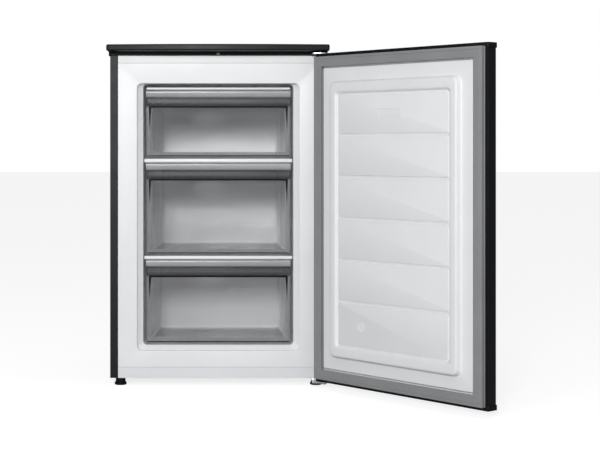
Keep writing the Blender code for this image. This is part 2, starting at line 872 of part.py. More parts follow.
def door_skin():
    """Outer steel sheet wrapped round both long edges to a lip on the inner face."""
    fold = HALF_DOOR - SKIN_LIP
    path = [
        (fold, DOOR_INNER),
        (HALF_DOOR, DOOR_INNER),
        (HALF_DOOR, DOOR_OUTER + 0.003),
        (HALF_DOOR - 0.001, DOOR_OUTER + 0.001),
        (HALF_DOOR - 0.003, DOOR_OUTER),
    ]
    path += [(-x, y) for x, y in path[::-1]]
    outline = sheet_outline(path[::-1], SHEET)
    low = DOOR_BOTTOM + CAP_HEIGHT + FIT
    high = DOOR_TOP - CAP_HEIGHT - FIT
    return prism("door_skin", outline, low, high, "Z", "black_paint", DOOR)


def door_cap(name, low, high):
    half = HALF_DOOR + CAP_BULGE / 2
    front = DOOR_OUTER - CAP_BULGE
    corners = ((-half, front), (half, front), (half, DOOR_INNER), (-half, DOOR_INNER))
    made = prism(name, rounded(corners, 0.003, 2), low, high, "Z", "black_plastic", DOOR)
    return round_edges(made, 0.0012, 2, 60)


def grip_cutters():
    """The trough behind the top cap's front lip, and the lowered lip in front of it."""
    front = DOOR_OUTER - CAP_BULGE
    trough = front + GRIP_WALL
    top = DOOR_TOP + FIT
    deep = box(
        "grip_trough_cutter",
        (-GRIP_HALF, trough, DOOR_TOP - GRIP_DROP),
        (GRIP_HALF, trough + GRIP_TROUGH, top),
        "black_plastic", DOOR,
    )
    lip = box(
        "grip_lip_cutter",
        (-GRIP_HALF, front - 0.002, DOOR_TOP - LIP_DROP),
        (GRIP_HALF, trough + 0.001, top),
        "black_plastic", DOOR,
    )
    return deep, lip


def door_liner_frames():
    """The door's inner face: under the gasket, up to the flange and the plinth, into the recess."""
    edge = HALF_DOOR - SKIN_LIP - FIT
    low = DOOR_BOTTOM + CAP_HEIGHT + FIT
    high = DOOR_TOP - CAP_HEIGHT - FIT
    half = HALF_DOOR - PLINTH_SIDE
    bottom = DOOR_BOTTOM + PLINTH_END
    top = DOOR_TOP - PLINTH_TOP_END
    flange = DOOR_INNER + FLANGE_RISE
    crest = flange + PLINTH_HEIGHT
    inside = GASKET_SIDE + GASKET_WIDTH + 2 * FIT + LINER_WALL
    below = GASKET_END + GASKET_WIDTH + 2 * FIT + LINER_WALL
    frames = [(edge, low, high, 0.001, DOOR_INNER)]
    for slope, y in ((0, DOOR_INNER), (FLANGE_SLOPE, flange)):
        side = inside + slope
        end = below + slope
        frames.append((HALF_DOOR - side, DOOR_BOTTOM + end, DOOR_TOP - end, 0.004, y))
    rim = PLINTH_SLOPE + PLINTH_RIM_SIDE
    rim_end = PLINTH_SLOPE + PLINTH_RIM_END
    steps = [
        (0, 0, flange, 0.016),
        (PLINTH_SLOPE, PLINTH_SLOPE, crest, 0.014),
        (rim, rim_end, crest, 0.008),
        (rim + RECESS_SLOPE, rim_end + RECESS_SLOPE, crest - RECESS_DEPTH, 0.006),
    ]
    for side, end, y, radius in steps:
        frames.append((half - side, bottom + end, top - end, radius, y))
    return frames


def door_liner():
    """White inner face of the door: a plinth whose recess holds flat pads with grooves between."""
    frames = door_liner_frames()
    made = shell("door_liner", frames, -LINER_WALL, "white_plastic", DOOR)
    half, bottom, top, _, floor = frames[-1]
    first = bottom + LOW_PAD_SHARE * (top - bottom)
    pitch = (top - first) / (PAD_COUNT - 1)
    for index in range(PAD_COUNT):
        low = bottom + PAD_MARGIN
        if index:
            low = first + pitch * (index - 1) + PAD_GROOVE / 2
        high = top - PAD_MARGIN
        if index < PAD_COUNT - 1:
            high = first + pitch * index - PAD_GROOVE / 2
        pad = box(
            f"liner_pad_{index}",
            (-half + PAD_MARGIN, floor - LINER_WALL / 2, low),
            (half - PAD_MARGIN, floor + PAD_HEIGHT, high),
            "white_plastic", DOOR,
        )
        join(made, pad)
    return made


def door_foam():
    half = HALF_DOOR - SHEET - FIT
    low = DOOR_BOTTOM + CAP_HEIGHT + FIT
    high = DOOR_TOP - CAP_HEIGHT - FIT
    flat = DOOR_INNER - LINER_WALL - FIT
    inner = moved_frames(door_liner_frames(), -LINER_WALL - FIT)[1:]
    back = DOOR_OUTER + SHEET + FIT
    frames = [
        (half - 0.003, low, high, 0.001, back),
        (half, low, high, 0.001, back + 0.003),
        (half, low, high, 0.001, flat),
    ]
    rings = [upright_ring(*frame) for frame in frames + inner]
    return loft("door_foam", rings, "foam", DOOR)


def gasket():
    """Magnetic seal: base, bellows and flat sealing face, mitred round the door."""
    half = HALF_DOOR - GASKET_SIDE
    low = DOOR_BOTTOM + GASKET_END
    high = DOOR_TOP - GASKET_END
    base = DOOR_INNER + FIT
    face = -FIT
    section = [
        (0, base), (0, base + 0.003), (0.003, base + 0.0045), (0, base + 0.006), (0, face),
        (GASKET_WIDTH, face), (GASKET_WIDTH, face - 0.004), (GASKET_WIDTH - 0.004, base + 0.0045),
        (GASKET_WIDTH - 0.002, base + 0.003), (GASKET_WIDTH - 0.002, base),
    ]
    shape = bmesh.new()
    loops = []
    for inset, y in section:
        x = half - inset
        bottom = low + inset
        top = high - inset
        corners = ((-x, y, bottom), (x, y, bottom), (x, y, top), (-x, y, top))
        loops.append([shape.verts.new(corner) for corner in corners])
    for first, second in zip(loops, loops[1:] + loops[:1]):
        for index in range(4):
            after = (index + 1) % 4
            shape.faces.new((first[index], first[after], second[after], second[index]))
    return add("door_gasket", finished("door_gasket", shape), "rubber", DOOR)


# Hinges


def bracket_outline(grow=0.0):
    inner = HINGE_X - BRACKET_INSIDE - grow
    outer = HINGE_X + BRACKET_OUTSIDE + grow
    nose = HINGE_Y - BRACKET_NOSE - grow
    corners = (
        (inner, nose), (outer, nose), (outer, BRACKET_BACK + grow), (inner, BRACKET_BACK + grow),
    )
    return rounded(corners, 0.005 + grow)


def hinge_pin(name, foot_z, top_z, head_low):
    """A pin standing on its axis; head_low is the underside of its flat head, if it has one."""
    profile = [(0, top_z), (PIN_RADIUS - 0.0005, top_z), (PIN_RADIUS, top_z - 0.0005)]
    if head_low is None:
        profile += [(PIN_RADIUS, foot_z), (0, foot_z)]
    else:
        head = PIN_RADIUS + PIN_HEAD
        profile += [(PIN_RADIUS, foot_z), (head, foot_z), (head, head_low), (0, head_low)]
    return turned(name, profile, "bright_steel", FREEZER, (HINGE_X, HINGE_Y, 0), 16)


def bush(name, low, high):
    """Flanged plastic sleeve in a door cap, round the hinge pin."""
    inner = PIN_RADIUS + FIT
    outline = [(BUSH_RADIUS, high), (BUSH_RADIUS, low), (inner, low), (inner, high)]
    shape = bmesh.new()
    points = [shape.verts.new((radius, 0, height)) for radius, height in outline]
    for first, second in zip(points, points[1:] + points[:1]):
        shape.edges.new((first, second))
    mesh = bpy.data.meshes.new(name)
    shape.to_mesh(mesh)
    shape.free()
    made = add(name, mesh, "white_plastic", DOOR, (HINGE_X, HINGE_Y, 0))
    screw = made.modifiers.new("Turn", "SCREW")
    screw.steps = 16
    screw.render_steps = 16
    screw.use_merge_vertices = True
    screw.merge_threshold = 0.00001
    screw.use_smooth_shade = True
    return made


def machine_screw(name, x, y, seat, length, owner, finish="bright_steel"):
    """A pan-head screw put in from below, its head against seat."""
    profile = [
        (0, seat + length),
        (SCREW_SHANK, seat + length),
        (SCREW_SHANK, seat - FIT),
        (SCREW_HEAD, seat - FIT),
        (SCREW_HEAD * SCREW_TAPER, seat - SCREW_HEIGHT),
        (0, seat - SCREW_HEIGHT),
    ]
    return turned(name, profile, finish, owner, (x, y, 0), 12)


def top_hinge(frame, cap):
    """Plate under the worktop with a pin down into the door's top cap."""
    under = DOOR_TOP + BRACKET_GAP
    over = under + BRACKET_PLATE
    plate = prism(
        "top_hinge_bracket", bracket_outline(), under, over, "Z", "bright_steel", FREEZER
    )
    hole = bore("top_pin_bore", HINGE_X, HINGE_Y, under - 0.01, over + 0.01, PIN_RADIUS, FREEZER)
    cut(plate, hole)
    pocket = prism(
        "bracket_pocket_cutter", bracket_outline(FIT), under - SCREW_HEIGHT - 0.002,
        over + FIT, "Z", "black_plastic", FREEZER,
    )
    cut(frame, pocket)
    hinge_pin("top_hinge_pin", DOOR_TOP - PIN_REACH, over, None)
    bush_low = DOOR_TOP - CAP_HEIGHT + FIT
    bush("top_door_bush", bush_low, DOOR_TOP)
    seat = bore(
        "top_bush_bore", HINGE_X, HINGE_Y, bush_low - 0.01, DOOR_TOP + 0.01, BUSH_RADIUS, DOOR
    )
    cut(cap, seat)


def bottom_hinge(cap, panel, foam, stem):
    """Bracket under the cabinet with a pin up through the stop plate into the bottom cap."""
    stop_low = STOP_TOP - STOP_PLATE
    under = BRACKET_UNDER
    over = under + BRACKET_PLATE
    inner = HINGE_X - BRACKET_INSIDE
    outer = HINGE_X + BRACKET_OUTSIDE
    side = [
        (HINGE_Y - BRACKET_NOSE, under),
        (BRACKET_BACK, under),
        (BRACKET_BACK, BODY_BOTTOM - FIT),
        (STEP_BACK, BODY_BOTTOM - FIT),
        (STEP_BACK, over),
        (HINGE_Y - BRACKET_NOSE, over),
    ]
    plate = prism("bottom_hinge_bracket", side, inner, outer, "X", "bright_steel", FREEZER)
    hole = bore("bottom_pin_bore", HINGE_X, HINGE_Y, under - 0.01, over + 0.01, PIN_RADIUS, FREEZER)
    cut(plate, hole, stem)
    hinge_pin("bottom_hinge_pin", under - FIT, DOOR_BOTTOM + PIN_REACH, under - 0.0035)
    y = BRACKET_BACK - HINGE_SCREW_BACK
    for index, offset in enumerate(HINGE_SCREW_OFFSETS):
        x = HINGE_X + offset
        name = f"bottom_hinge_screw_{index + 1}"
        reach = BODY_BOTTOM + 0.012
        machine_screw(name, x, y, under, reach - under, FREEZER)
        shaft = bore(
            f"hinge_screw_bore_{index}", x, y, under - 0.01, reach + FIT, SCREW_SHANK, FREEZER
        )
        cut(plate, shaft)
        cut(panel, shaft)
        cut(foam, shaft)
    bush_high = DOOR_BOTTOM + CAP_HEIGHT - FIT
    bush("bottom_door_bush", DOOR_BOTTOM, bush_high)
    seat = bore(
        "bottom_bush_bore", HINGE_X, HINGE_Y, DOOR_BOTTOM - 0.01, bush_high + 0.01,
        BUSH_RADIUS, DOOR,
    )
    cut(cap, seat)
    half = STOP_WIDTH / 2
    corners = (
        (HINGE_X - STOP_REACH, HINGE_Y - half), (HINGE_X + half, HINGE_Y - half),
        (HINGE_X + half, HINGE_Y + half), (HINGE_X - STOP_REACH, HINGE_Y + half),
    )
    stop = prism(
        "door_stop_plate", rounded(corners, 0.004), stop_low, STOP_TOP, "Z", "bright_steel", DOOR
    )
    cut(stop, bore("stop_pin_bore", HINGE_X, HINGE_Y, 0, DOOR_BOTTOM, PIN_RADIUS, DOOR))
    for index, share in enumerate(STOP_SCREW_SHARES):
        x = HINGE_X - STOP_REACH * share
        machine_screw(
            f"stop_plate_screw_{index + 1}", x, HINGE_Y, stop_low,
            CAP_HEIGHT * 0.8, DOOR, "black_paint",
        )
        shaft = bore(
            f"stop_screw_bore_{index}", x, HINGE_Y, 0, stop_low + CAP_HEIGHT * 0.8 + FIT,
            SCREW_SHANK, DOOR,
        )
        cut(stop, shaft)
        cut(cap, shaft)


# Cooling circuit and control


def compressor():
    """Hermetic compressor on its plate and four rubber grommets."""
    floor = BODY_BOTTOM + TRAY_SHEET + FIT
    y = (BAY_FRONT + BODY_DEPTH) / 2 + 0.012
    width, depth, thick = COMPRESSOR_PLATE
    plate_low = floor + GROMMET_HEIGHT + FIT
    box(
        "compressor_plate",
        (COMPRESSOR_X - width / 2, y - depth / 2, plate_low),
        (COMPRESSOR_X + width / 2, y + depth / 2, plate_low + thick),
        "black_paint", FREEZER,
    )
    for index in range(4):
        across = GROMMET_SPACING[0] / 2 * (1 if index % 2 else -1)
        along = GROMMET_SPACING[1] / 2 * (1 if index > 1 else -1)
        profile = [
            (0, GROMMET_HEIGHT), (GROMMET_RADIUS * 0.8, GROMMET_HEIGHT),
            (GROMMET_RADIUS * 0.65, GROMMET_HEIGHT / 2), (GROMMET_RADIUS, 0), (0, 0),
        ]
        place = (COMPRESSOR_X + across, y + along, floor)
        turned(f"compressor_grommet_{index + 1}", profile, "dark_rubber", FREEZER, place, 12)
    radius = COMPRESSOR_RADIUS
    height = COMPRESSOR_HEIGHT
    dome = radius * 0.62
    profile = [
        (radius * sin(pi / 2 * step / 5), height - dome + dome * cos(pi / 2 * step / 5))
        for step in range(6)
    ]
    seam = height * 0.52
    profile += [
        (radius, seam + 0.004), (radius + 0.004, seam + 0.003), (radius + 0.004, seam - 0.003),
        (radius, seam - 0.004), (radius, radius * 0.4), (radius * 0.72, 0), (0, 0),
    ]
    base = plate_low + thick + FIT
    turned(
        "compressor_shell", profile, "black_paint", FREEZER, (COMPRESSOR_X, y, base), 24
    )
    relay_front = COMPRESSOR_X - radius - 0.005
    cover = box(
        "relay_cover",
        (relay_front - 0.034, y - 0.026, base + 0.020),
        (relay_front, y + 0.026, base + 0.088),
        "black_plastic", FREEZER,
    )
    round_edges(cover, 0.004)
    return y, base


def condenser():
    """Tube and straps behind the back panel."""
    low = BAY_TOP + CONDENSER_MARGIN
    high = BODY_TOP - CONDENSER_MARGIN
    pitch = (high - low) / (CONDENSER_PASSES - 1)
    y = BODY_DEPTH + CONDENSER_GAP
    route = [(x, y, z) for x, z in serpentine(CONDENSER_HALF, low, pitch, CONDENSER_PASSES)]
    coil = tube("condenser", route, CONDENSER_TUBE, "black_paint", FREEZER)
    reach = STRAP_SHARE_BACK * CONDENSER_HALF
    for index, x in enumerate((-reach, 0, reach)):
        strap = box(
            f"condenser_strap_{index}",
            (x - 0.006, y + CONDENSER_TUBE / 3, low - 0.008),
            (x + 0.006, y + CONDENSER_TUBE - 0.0002, high + 0.008),
            "black_paint", FREEZER,
        )
        join(coil, strap)
        if index == 1:
            continue
        for end, z in enumerate((low + pitch / 2, high - pitch / 2)):
            leg = box(
                f"condenser_leg_{index}_{end}",
                (x - 0.004, BODY_DEPTH + FIT, z - 0.006),
                (x + 0.004, y + CONDENSER_TUBE / 2, z + 0.006),
                "black_paint", FREEZER,
            )
            join(coil, leg)
    return low


def rounded_route(points, radius, steps=3):
    """A pipe's route with each inner corner turned to an arc."""
    route = [Vector(points[0])]
    for before, corner, after in zip(points, points[1:], points[2:]):
        corner = Vector(corner)
        start = corner + (Vector(before) - corner).normalized() * radius
        end = corner + (Vector(after) - corner).normalized() * radius
        for step in range(steps + 1):
            t = step / steps
            route.append(start * (1 - t) ** 2 + corner * 2 * t * (1 - t) + end * t * t)
    route.append(Vector(points[-1]))
    return route


def pipes(y, base):
    """Discharge pipe to the condenser, suction pipe from the evaporator, and the drier."""
    side = COMPRESSOR_X + COMPRESSOR_RADIUS + 0.004 + FIT
    bend = 0.010
    out = BODY_DEPTH + CONDENSER_GAP
    low = BAY_TOP + CONDENSER_MARGIN
    start = -CONDENSER_HALF + (BODY_TOP - BAY_TOP - 2 * CONDENSER_MARGIN) / (CONDENSER_PASSES - 1) / 2
    discharge = [
        (side, y + 0.012, base + 0.095),
        (side + 0.030, y + 0.012, base + 0.095),
        (side + 0.030, out, base + 0.095),
        (side + 0.030, out, low - 0.030),
        (start - FIT - PIPE_RADIUS - CONDENSER_TUBE, out, low - 0.030),
        (start - FIT - PIPE_RADIUS - CONDENSER_TUBE, out, low + 0.004),
    ]
    tube("discharge_pipe", rounded_route(discharge, bend), PIPE_RADIUS, "copper", FREEZER)
    suction = [
        (side, y - 0.018, base + 0.070),
        (side + 0.018, y - 0.018, base + 0.070),
        (side + 0.018, y - 0.018, BAY_TOP - FIT),
    ]
    tube("suction_pipe", rounded_route(suction, bend), PIPE_RADIUS, "copper", FREEZER)
    neck = PIPE_RADIUS
    profile = [
        (0, DRIER_LENGTH / 2), (neck, DRIER_LENGTH / 2), (neck, DRIER_LENGTH / 2 - 0.012),
        (DRIER_RADIUS, DRIER_LENGTH / 2 - 0.020), (DRIER_RADIUS, -DRIER_LENGTH / 2 + 0.020),
        (neck, -DRIER_LENGTH / 2 + 0.012), (neck, -DRIER_LENGTH / 2), (0, -DRIER_LENGTH / 2),
    ]
    middle = BAY_TOP - FIT - DRIER_LENGTH / 2
    drier_x = control_left() - DRIER_GAP
    turned("filter_drier", profile, "copper", FREEZER, (drier_x, y, middle), 16)


def control_left():
    return HALF_BODY - SHEET - FIT - CONTROL_SIDE - CONTROL_SIZE[0]


def control():
    """Box under the bay's roof that carries the thermostat knob and the mains inlet bush."""
    width, depth, height = CONTROL_SIZE
    left = control_left()
    right = left + width
    back = BODY_DEPTH - 0.004
    roof = BAY_TOP - FIT
    case = box(
        "control_box", (left, back - depth, roof - height), (right, back, roof),
        "black_plastic", FREEZER,
    )
    round_edges(case, 0.002)
    knob_x = left + width * 0.36
    knob_z = roof - height * 0.5
    owner = new_empty("thermostat_knob_axis", FREEZER, (knob_x, back, knob_z))
    face = KNOB_HEIGHT
    profile = [
        (0, face), (KNOB_RADIUS * 0.80, face), (KNOB_RADIUS * 0.88, face - 0.001),
        (KNOB_RADIUS, 0.002), (KNOB_RADIUS, FIT), (0, FIT),
    ]
    knob = turned(
        "thermostat_knob", profile, "grey_plastic", owner, (knob_x, back, knob_z), 24, True
    )
    grip = box(
        "knob_grip",
        (knob_x - 0.0020, back + face - 0.004, knob_z - KNOB_RADIUS * 0.74),
        (knob_x + 0.0020, back + face + 0.004, knob_z + KNOB_RADIUS * 0.74),
        "grey_plastic", owner,
    )
    join(knob, grip)
    profile = [
        (0, INLET_LENGTH), (INLET_RADIUS * 0.62, INLET_LENGTH), (INLET_RADIUS * 0.72, 0.003),
        (INLET_RADIUS, 0.003), (INLET_RADIUS, FIT), (0, FIT),
    ]
    inlet = (left + width * 0.80, back, roof - height * 0.70)
    turned("mains_inlet_bush", profile, "dark_rubber", FREEZER, inlet, 16, True)


# Whole object


def box_middle():
    """Middle, seen from above, of the box round the freezer with its door open."""
    angle = radians(DOOR_ANGLE)
    reach = HINGE_X + HALF_DOOR
    outer = DOOR_OUTER - CAP_BULGE - HINGE_Y
    inner = DOOR_INNER - HINGE_Y
    right = HINGE_X - reach * cos(angle) - outer * sin(angle)
    front = HINGE_Y - reach * sin(angle) + inner * cos(angle)
    left = -HALF_BODY - WORKTOP_SIDE
    back = BODY_DEPTH + CONDENSER_GAP + CONDENSER_TUBE
    return Vector(((left + right) / 2, (front + back) / 2, 0))


def build():
    frame = worktop_frame()
    worktop()
    frame_plug()
    side_panel("left_side_panel", -1)
    side_panel("right_side_panel", 1)
    front_rails()
    liner()
    foam = cabinet_foam()
    bay_panel()
    back_panel()
    panel = bottom_panel()
    compressor_tray()
    stems = feet()
    for stem in stems.values():
        cut(panel, stem)
        cut(foam, stem)
    for level in SHELF_UNDERSIDES:
        shelf(level)
    for level, (floor, ceiling, back) in drawer_sizes().items():
        drawer(level, floor, ceiling, back)
    door_skin()
    top_cap = door_cap("door_top_cap", DOOR_TOP - CAP_HEIGHT, DOOR_TOP)
    bottom_cap = door_cap("door_bottom_cap", DOOR_BOTTOM, DOOR_BOTTOM + CAP_HEIGHT)
    cut(top_cap, *grip_cutters())
    door_liner()
    door_foam()
    gasket()
    top_hinge(frame, top_cap)
    bottom_hinge(bottom_cap, panel, foam, stems["right"])
    y, base = compressor()
    condenser()
    pipes(y, base)
    control()


clear_scene()
PARTS = new_collection("under_counter_freezer", False)
CUTTERS = new_collection("cutters", True)
FREEZER = new_empty("freezer", None, -box_middle())
DOOR = new_empty("door_hinge_axis", FREEZER, (HINGE_X, HINGE_Y, 0))
DOOR.rotation_euler = (0, 0, radians(DOOR_ANGLE))
build()
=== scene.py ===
from math import cos, pi, radians, sin, sqrt, tau

import bmesh
import bpy
from mathutils import Matrix, Vector


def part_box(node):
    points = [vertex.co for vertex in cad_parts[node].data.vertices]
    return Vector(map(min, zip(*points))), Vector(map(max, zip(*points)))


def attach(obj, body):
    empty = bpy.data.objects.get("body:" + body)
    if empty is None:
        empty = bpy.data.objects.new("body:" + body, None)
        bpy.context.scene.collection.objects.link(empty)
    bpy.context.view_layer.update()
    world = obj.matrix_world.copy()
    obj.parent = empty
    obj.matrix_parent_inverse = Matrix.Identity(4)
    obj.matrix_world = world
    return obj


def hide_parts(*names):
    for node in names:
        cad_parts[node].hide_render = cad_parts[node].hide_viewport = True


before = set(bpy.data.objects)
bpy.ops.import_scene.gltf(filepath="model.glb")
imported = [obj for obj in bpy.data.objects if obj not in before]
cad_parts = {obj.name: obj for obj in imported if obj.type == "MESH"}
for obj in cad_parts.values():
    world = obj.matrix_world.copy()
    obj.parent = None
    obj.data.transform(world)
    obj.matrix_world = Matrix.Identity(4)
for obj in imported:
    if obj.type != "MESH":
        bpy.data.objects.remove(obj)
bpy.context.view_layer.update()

print("frame loaded:", len(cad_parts), "nodes")

# where things are: the middle and front face of the cabinet, and the door's hinge axis
linerLow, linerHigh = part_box("inner_liner")
middle = Vector(((linerLow.x + linerHigh.x) / 2, linerLow.y, 0))
pinLow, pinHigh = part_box("top_hinge_pin")
hinge = Vector(((pinLow.x + pinHigh.x) / 2, (pinLow.y + pinHigh.y) / 2, 0))
doorAngle = radians(130.5)
doorTurn = Matrix.Translation(hinge) @ Matrix.Rotation(doorAngle, 4, "Z")
doorTurn = doorTurn @ Matrix.Translation(middle - hinge)  # shut door, cabinet frame -> world
cabinetTurn = Matrix.Translation(middle)


finishes = {
    "charcoalTop": dict(colour=(0.013, 0.0135, 0.0145), roughness=0.36, grain=900, mottle=0.25,
                        bump=0.10, wear=0.06, shine=0.12),
    "satinBlack": dict(colour=(0.006, 0.006, 0.007), roughness=0.42, grain=700, mottle=0.15,
                       bump=0.06, wear=0.05, shine=0.22),
    "mouldedBlack": dict(colour=(0.006, 0.006, 0.0065), roughness=0.48, grain=1400, mottle=0.2,
                         bump=0.12, wear=0.06, shine=0.16),
    "whiteSteel": dict(colour=(0.72, 0.735, 0.75), roughness=0.38, grain=500, mottle=0.02,
                       bump=0.03, wear=0.04),
    "whiteLiner": dict(colour=(0.76, 0.77, 0.78), roughness=0.34, grain=320, mottle=0.02,
                       bump=0.04, wear=0.05),
    "doorLiner": dict(colour=(0.77, 0.775, 0.785), roughness=0.42, grain=260, mottle=0.015,
                      bump=0.05, wear=0.05),
    "sealGrey": dict(colour=(0.245, 0.25, 0.26), roughness=0.55, grain=900, mottle=0.06,
                     bump=0.08, wear=0.08),
    "greyPlastic": dict(colour=(0.30, 0.31, 0.32), roughness=0.48, grain=1200, mottle=0.06,
                        bump=0.10, wear=0.05),
    "blackRubber": dict(colour=(0.018, 0.018, 0.018), roughness=0.75, grain=1500, mottle=0.3,
                        bump=0.2, wear=0.08),
    "zincPlate": dict(colour=(0.62, 0.63, 0.64), roughness=0.28, grain=1600, mottle=0.08,
                      bump=0.06, wear=0.08, metallic=1.0),
    "copperTube": dict(colour=(0.70, 0.36, 0.22), roughness=0.30, grain=260, mottle=0.22,
                       bump=0.03, wear=0.12, metallic=1.0),
    "foamYellow": dict(colour=(0.70, 0.60, 0.36), roughness=0.9, grain=350, mottle=0.2,
                       bump=0.4, wear=0.03),
}


def link(tree, source, target):
    tree.links.new(source, target)


def linkAll(tree, *joins):
    # (from node, output, to node, input)
    for source, output, target, entry in joins:
        tree.links.new(source.outputs[output], target.inputs[entry])


def noiseNode(tree, coordinates, scale, detail=3.0):
    made = tree.nodes.new("ShaderNodeTexNoise")
    made.inputs["Scale"].default_value = scale
    made.inputs["Detail"].default_value = detail
    link(tree, coordinates, made.inputs["Vector"])
    return made.outputs["Fac"]


def mixColours(tree, factor, first, second):
    made = tree.nodes.new("ShaderNodeMix")
    made.data_type = "RGBA"
    made.inputs["A"].default_value = (*first, 1)
    made.inputs["B"].default_value = (*second, 1)
    link(tree, factor, made.inputs["Factor"])
    return made.outputs["Result"]


def mapped(tree, value, low, high, fromLow=0.3, fromHigh=0.7):
    made = tree.nodes.new("ShaderNodeMapRange")
    made.inputs["From Min"].default_value = fromLow
    made.inputs["From Max"].default_value = fromHigh
    made.inputs["To Min"].default_value = low
    made.inputs["To Max"].default_value = high
    link(tree, value, made.inputs["Value"])
    return made.outputs["Result"]


def bumpNode(tree, height, strength, distance=0.0004):
    made = tree.nodes.new("ShaderNodeBump")
    made.inputs["Strength"].default_value = strength
    made.inputs["Distance"].default_value = distance
    link(tree, height, made.inputs["Height"])
    return made.outputs["Normal"]


def newMaterial(name):
    made = bpy.data.materials.new(name)
    made.use_nodes = True
    tree = made.node_tree
    coordinates = tree.nodes.new("ShaderNodeTexCoord").outputs["Object"]
    return made, tree, tree.nodes["Principled BSDF"], coordinates


def makeFinish(name, colour, roughness, grain, mottle, bump, wear, metallic=0.0, shine=0.5):
    # patches vary the colour and gloss over a hand's width, grain is the surface's own texture
    made, tree, shader, coordinates = newMaterial(name)
    patches = noiseNode(tree, coordinates, 14, 4)
    fine = noiseNode(tree, coordinates, grain, 2)
    light = [min(1, value * (1 + mottle)) for value in colour]
    dark = [value * (1 - mottle) for value in colour]
    both = tree.nodes.new("ShaderNodeMath")
    both.operation = "ADD"
    link(tree, patches, both.inputs[0])
    link(tree, fine, both.inputs[1])
    shade = mapped(tree, both.outputs[0], 0, 1, 0.7, 1.3)
    link(tree, mixColours(tree, shade, dark, light), shader.inputs["Base Color"])
    gloss = mapped(tree, patches, roughness - wear, roughness + wear)
    link(tree, gloss, shader.inputs["Roughness"])
    link(tree, bumpNode(tree, fine, bump), shader.inputs["Normal"])
    shader.inputs["Metallic"].default_value = metallic
    shader.inputs["Specular IOR Level"].default_value = shine
    return made


def makeSpangle():
    # zinc-coated sheet: crystals a few millimetres wide, each a little lighter or darker
    made, tree, shader, coordinates = newMaterial("zincSheet")
    crystals = tree.nodes.new("ShaderNodeTexVoronoi")
    crystals.inputs["Scale"].default_value = 120
    link(tree, coordinates, crystals.inputs["Vector"])
    split = tree.nodes.new("ShaderNodeSeparateColor")
    link(tree, crystals.outputs["Color"], split.inputs["Color"])
    shade = mixColours(tree, split.outputs["Red"], (0.44, 0.45, 0.46), (0.60, 0.61, 0.62))
    link(tree, shade, shader.inputs["Base Color"])
    gloss = mapped(tree, split.outputs["Green"], 0.34, 0.50, 0, 1)
    link(tree, gloss, shader.inputs["Roughness"])
    fine = noiseNode(tree, coordinates, 600, 2)
    link(tree, bumpNode(tree, fine, 0.05), shader.inputs["Normal"])
    shader.inputs["Metallic"].default_value = 1.0
    return made


smokes = {
    "smokeWindow": dict(colour=(0.74, 0.75, 0.78), facing=0.040, grazing=0.70, roughness=0.08,
                        shine=0.30),
    "smokeTub": dict(colour=(0.93, 0.94, 0.96), facing=0.10, grazing=0.78, roughness=0.12),
    # darker grey for the tub's floor faces: painted shade
    "paintedShadeFloor": dict(colour=(0.30, 0.305, 0.315), facing=0.30, grazing=0.55, roughness=0.20),
    # dark grey for the hollow's back, the side returns and the floor bumps: painted shade on the
    # same clear plastic
    "paintedShadeSmoke": dict(colour=(0.085, 0.087, 0.091), facing=0.36, grazing=0.72,
                        roughness=0.30, shine=0.18),
    "smokeLedge": dict(colour=(0.50, 0.51, 0.53), facing=0.62, grazing=0.96, roughness=0.16),
    "smokeFrame": dict(colour=(0.34, 0.35, 0.365), facing=0.26, grazing=0.94, roughness=0.14),
    # near-black strips that paint the shade at the window's edges and along the foot
    "paintedShadowLine": dict(colour=(0.001, 0.001, 0.001), facing=0.98, grazing=1.0, roughness=0.40,
                      shine=0.08),
}


def makeSmoke(name, colour, facing, grazing, roughness, shine=0.5):
    # clear grey plastic: denser where the wall is seen edge-on, with faint flow marks
    made, tree, shader, coordinates = newMaterial(name)
    flow = noiseNode(tree, coordinates, 9, 5)
    light = [value * 1.12 for value in colour]
    dark = [value * 0.90 for value in colour]
    link(tree, mixColours(tree, mapped(tree, flow, 0, 1), dark, light),
         shader.inputs["Base Color"])
    link(tree, mapped(tree, flow, roughness - 0.04, roughness + 0.06),
         shader.inputs["Roughness"])
    edge = tree.nodes.new("ShaderNodeLayerWeight")
    edge.inputs["Blend"].default_value = 0.35
    link(tree, mapped(tree, edge.outputs["Facing"], facing, grazing, 0, 1),
         shader.inputs["Alpha"])
    waves = noiseNode(tree, coordinates, 30, 1)
    link(tree, bumpNode(tree, waves, 0.12, 0.002), shader.inputs["Normal"])
    shader.inputs["Specular IOR Level"].default_value = shine
    return made


materials = {name: makeFinish(name, **values) for name, values in finishes.items()}
materials.update({name: makeSmoke(name, **values) for name, values in smokes.items()})
materials["zincSheet"] = makeSpangle()

print("finishes made:", len(materials))


def addPiece(name, mesh, material, body, replaced=(), turn=None, sharp=32):
    made = bpy.data.objects.new(name, mesh)
    bpy.context.scene.collection.objects.link(made)
    if turn is not None:
        mesh.transform(turn)
    mesh.shade_smooth()
    mesh.set_sharp_from_angle(angle=radians(sharp))
    mesh.materials.clear()
    mesh.materials.append(materials[material])
    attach(made, body)
    if replaced:
        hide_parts(*replaced)
    return made


def meshOf(name, shape):
    bmesh.ops.recalc_face_normals(shape, faces=shape.faces)
    mesh = bpy.data.meshes.new(name)
    shape.to_mesh(mesh)
    shape.free()
    return mesh


def bevel(obj, width, segments=3, angle=35):
    made = obj.modifiers.new("Soft edges", "BEVEL")
    made.width = width
    made.segments = segments
    made.limit_method = "ANGLE"
    made.angle_limit = radians(angle)
    made.harden_normals = False
    return obj


def refine(node, material, body, width=0.0006, segments=2, angle=35):
    # a merged copy of a CAD solid with its edges softened
    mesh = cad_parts[node].data.copy()
    shape = bmesh.new()
    shape.from_mesh(mesh)
    bmesh.ops.remove_doubles(shape, verts=shape.verts, dist=0.000005)
    flat = radians(0.5)
    bmesh.ops.dissolve_limit(shape, angle_limit=flat, verts=shape.verts, edges=shape.edges)
    shape.to_mesh(mesh)
    shape.free()
    made = addPiece(node + "_fine", mesh, material, body, (node,))
    if width:
        bevel(made, width, segments, angle)
    return made


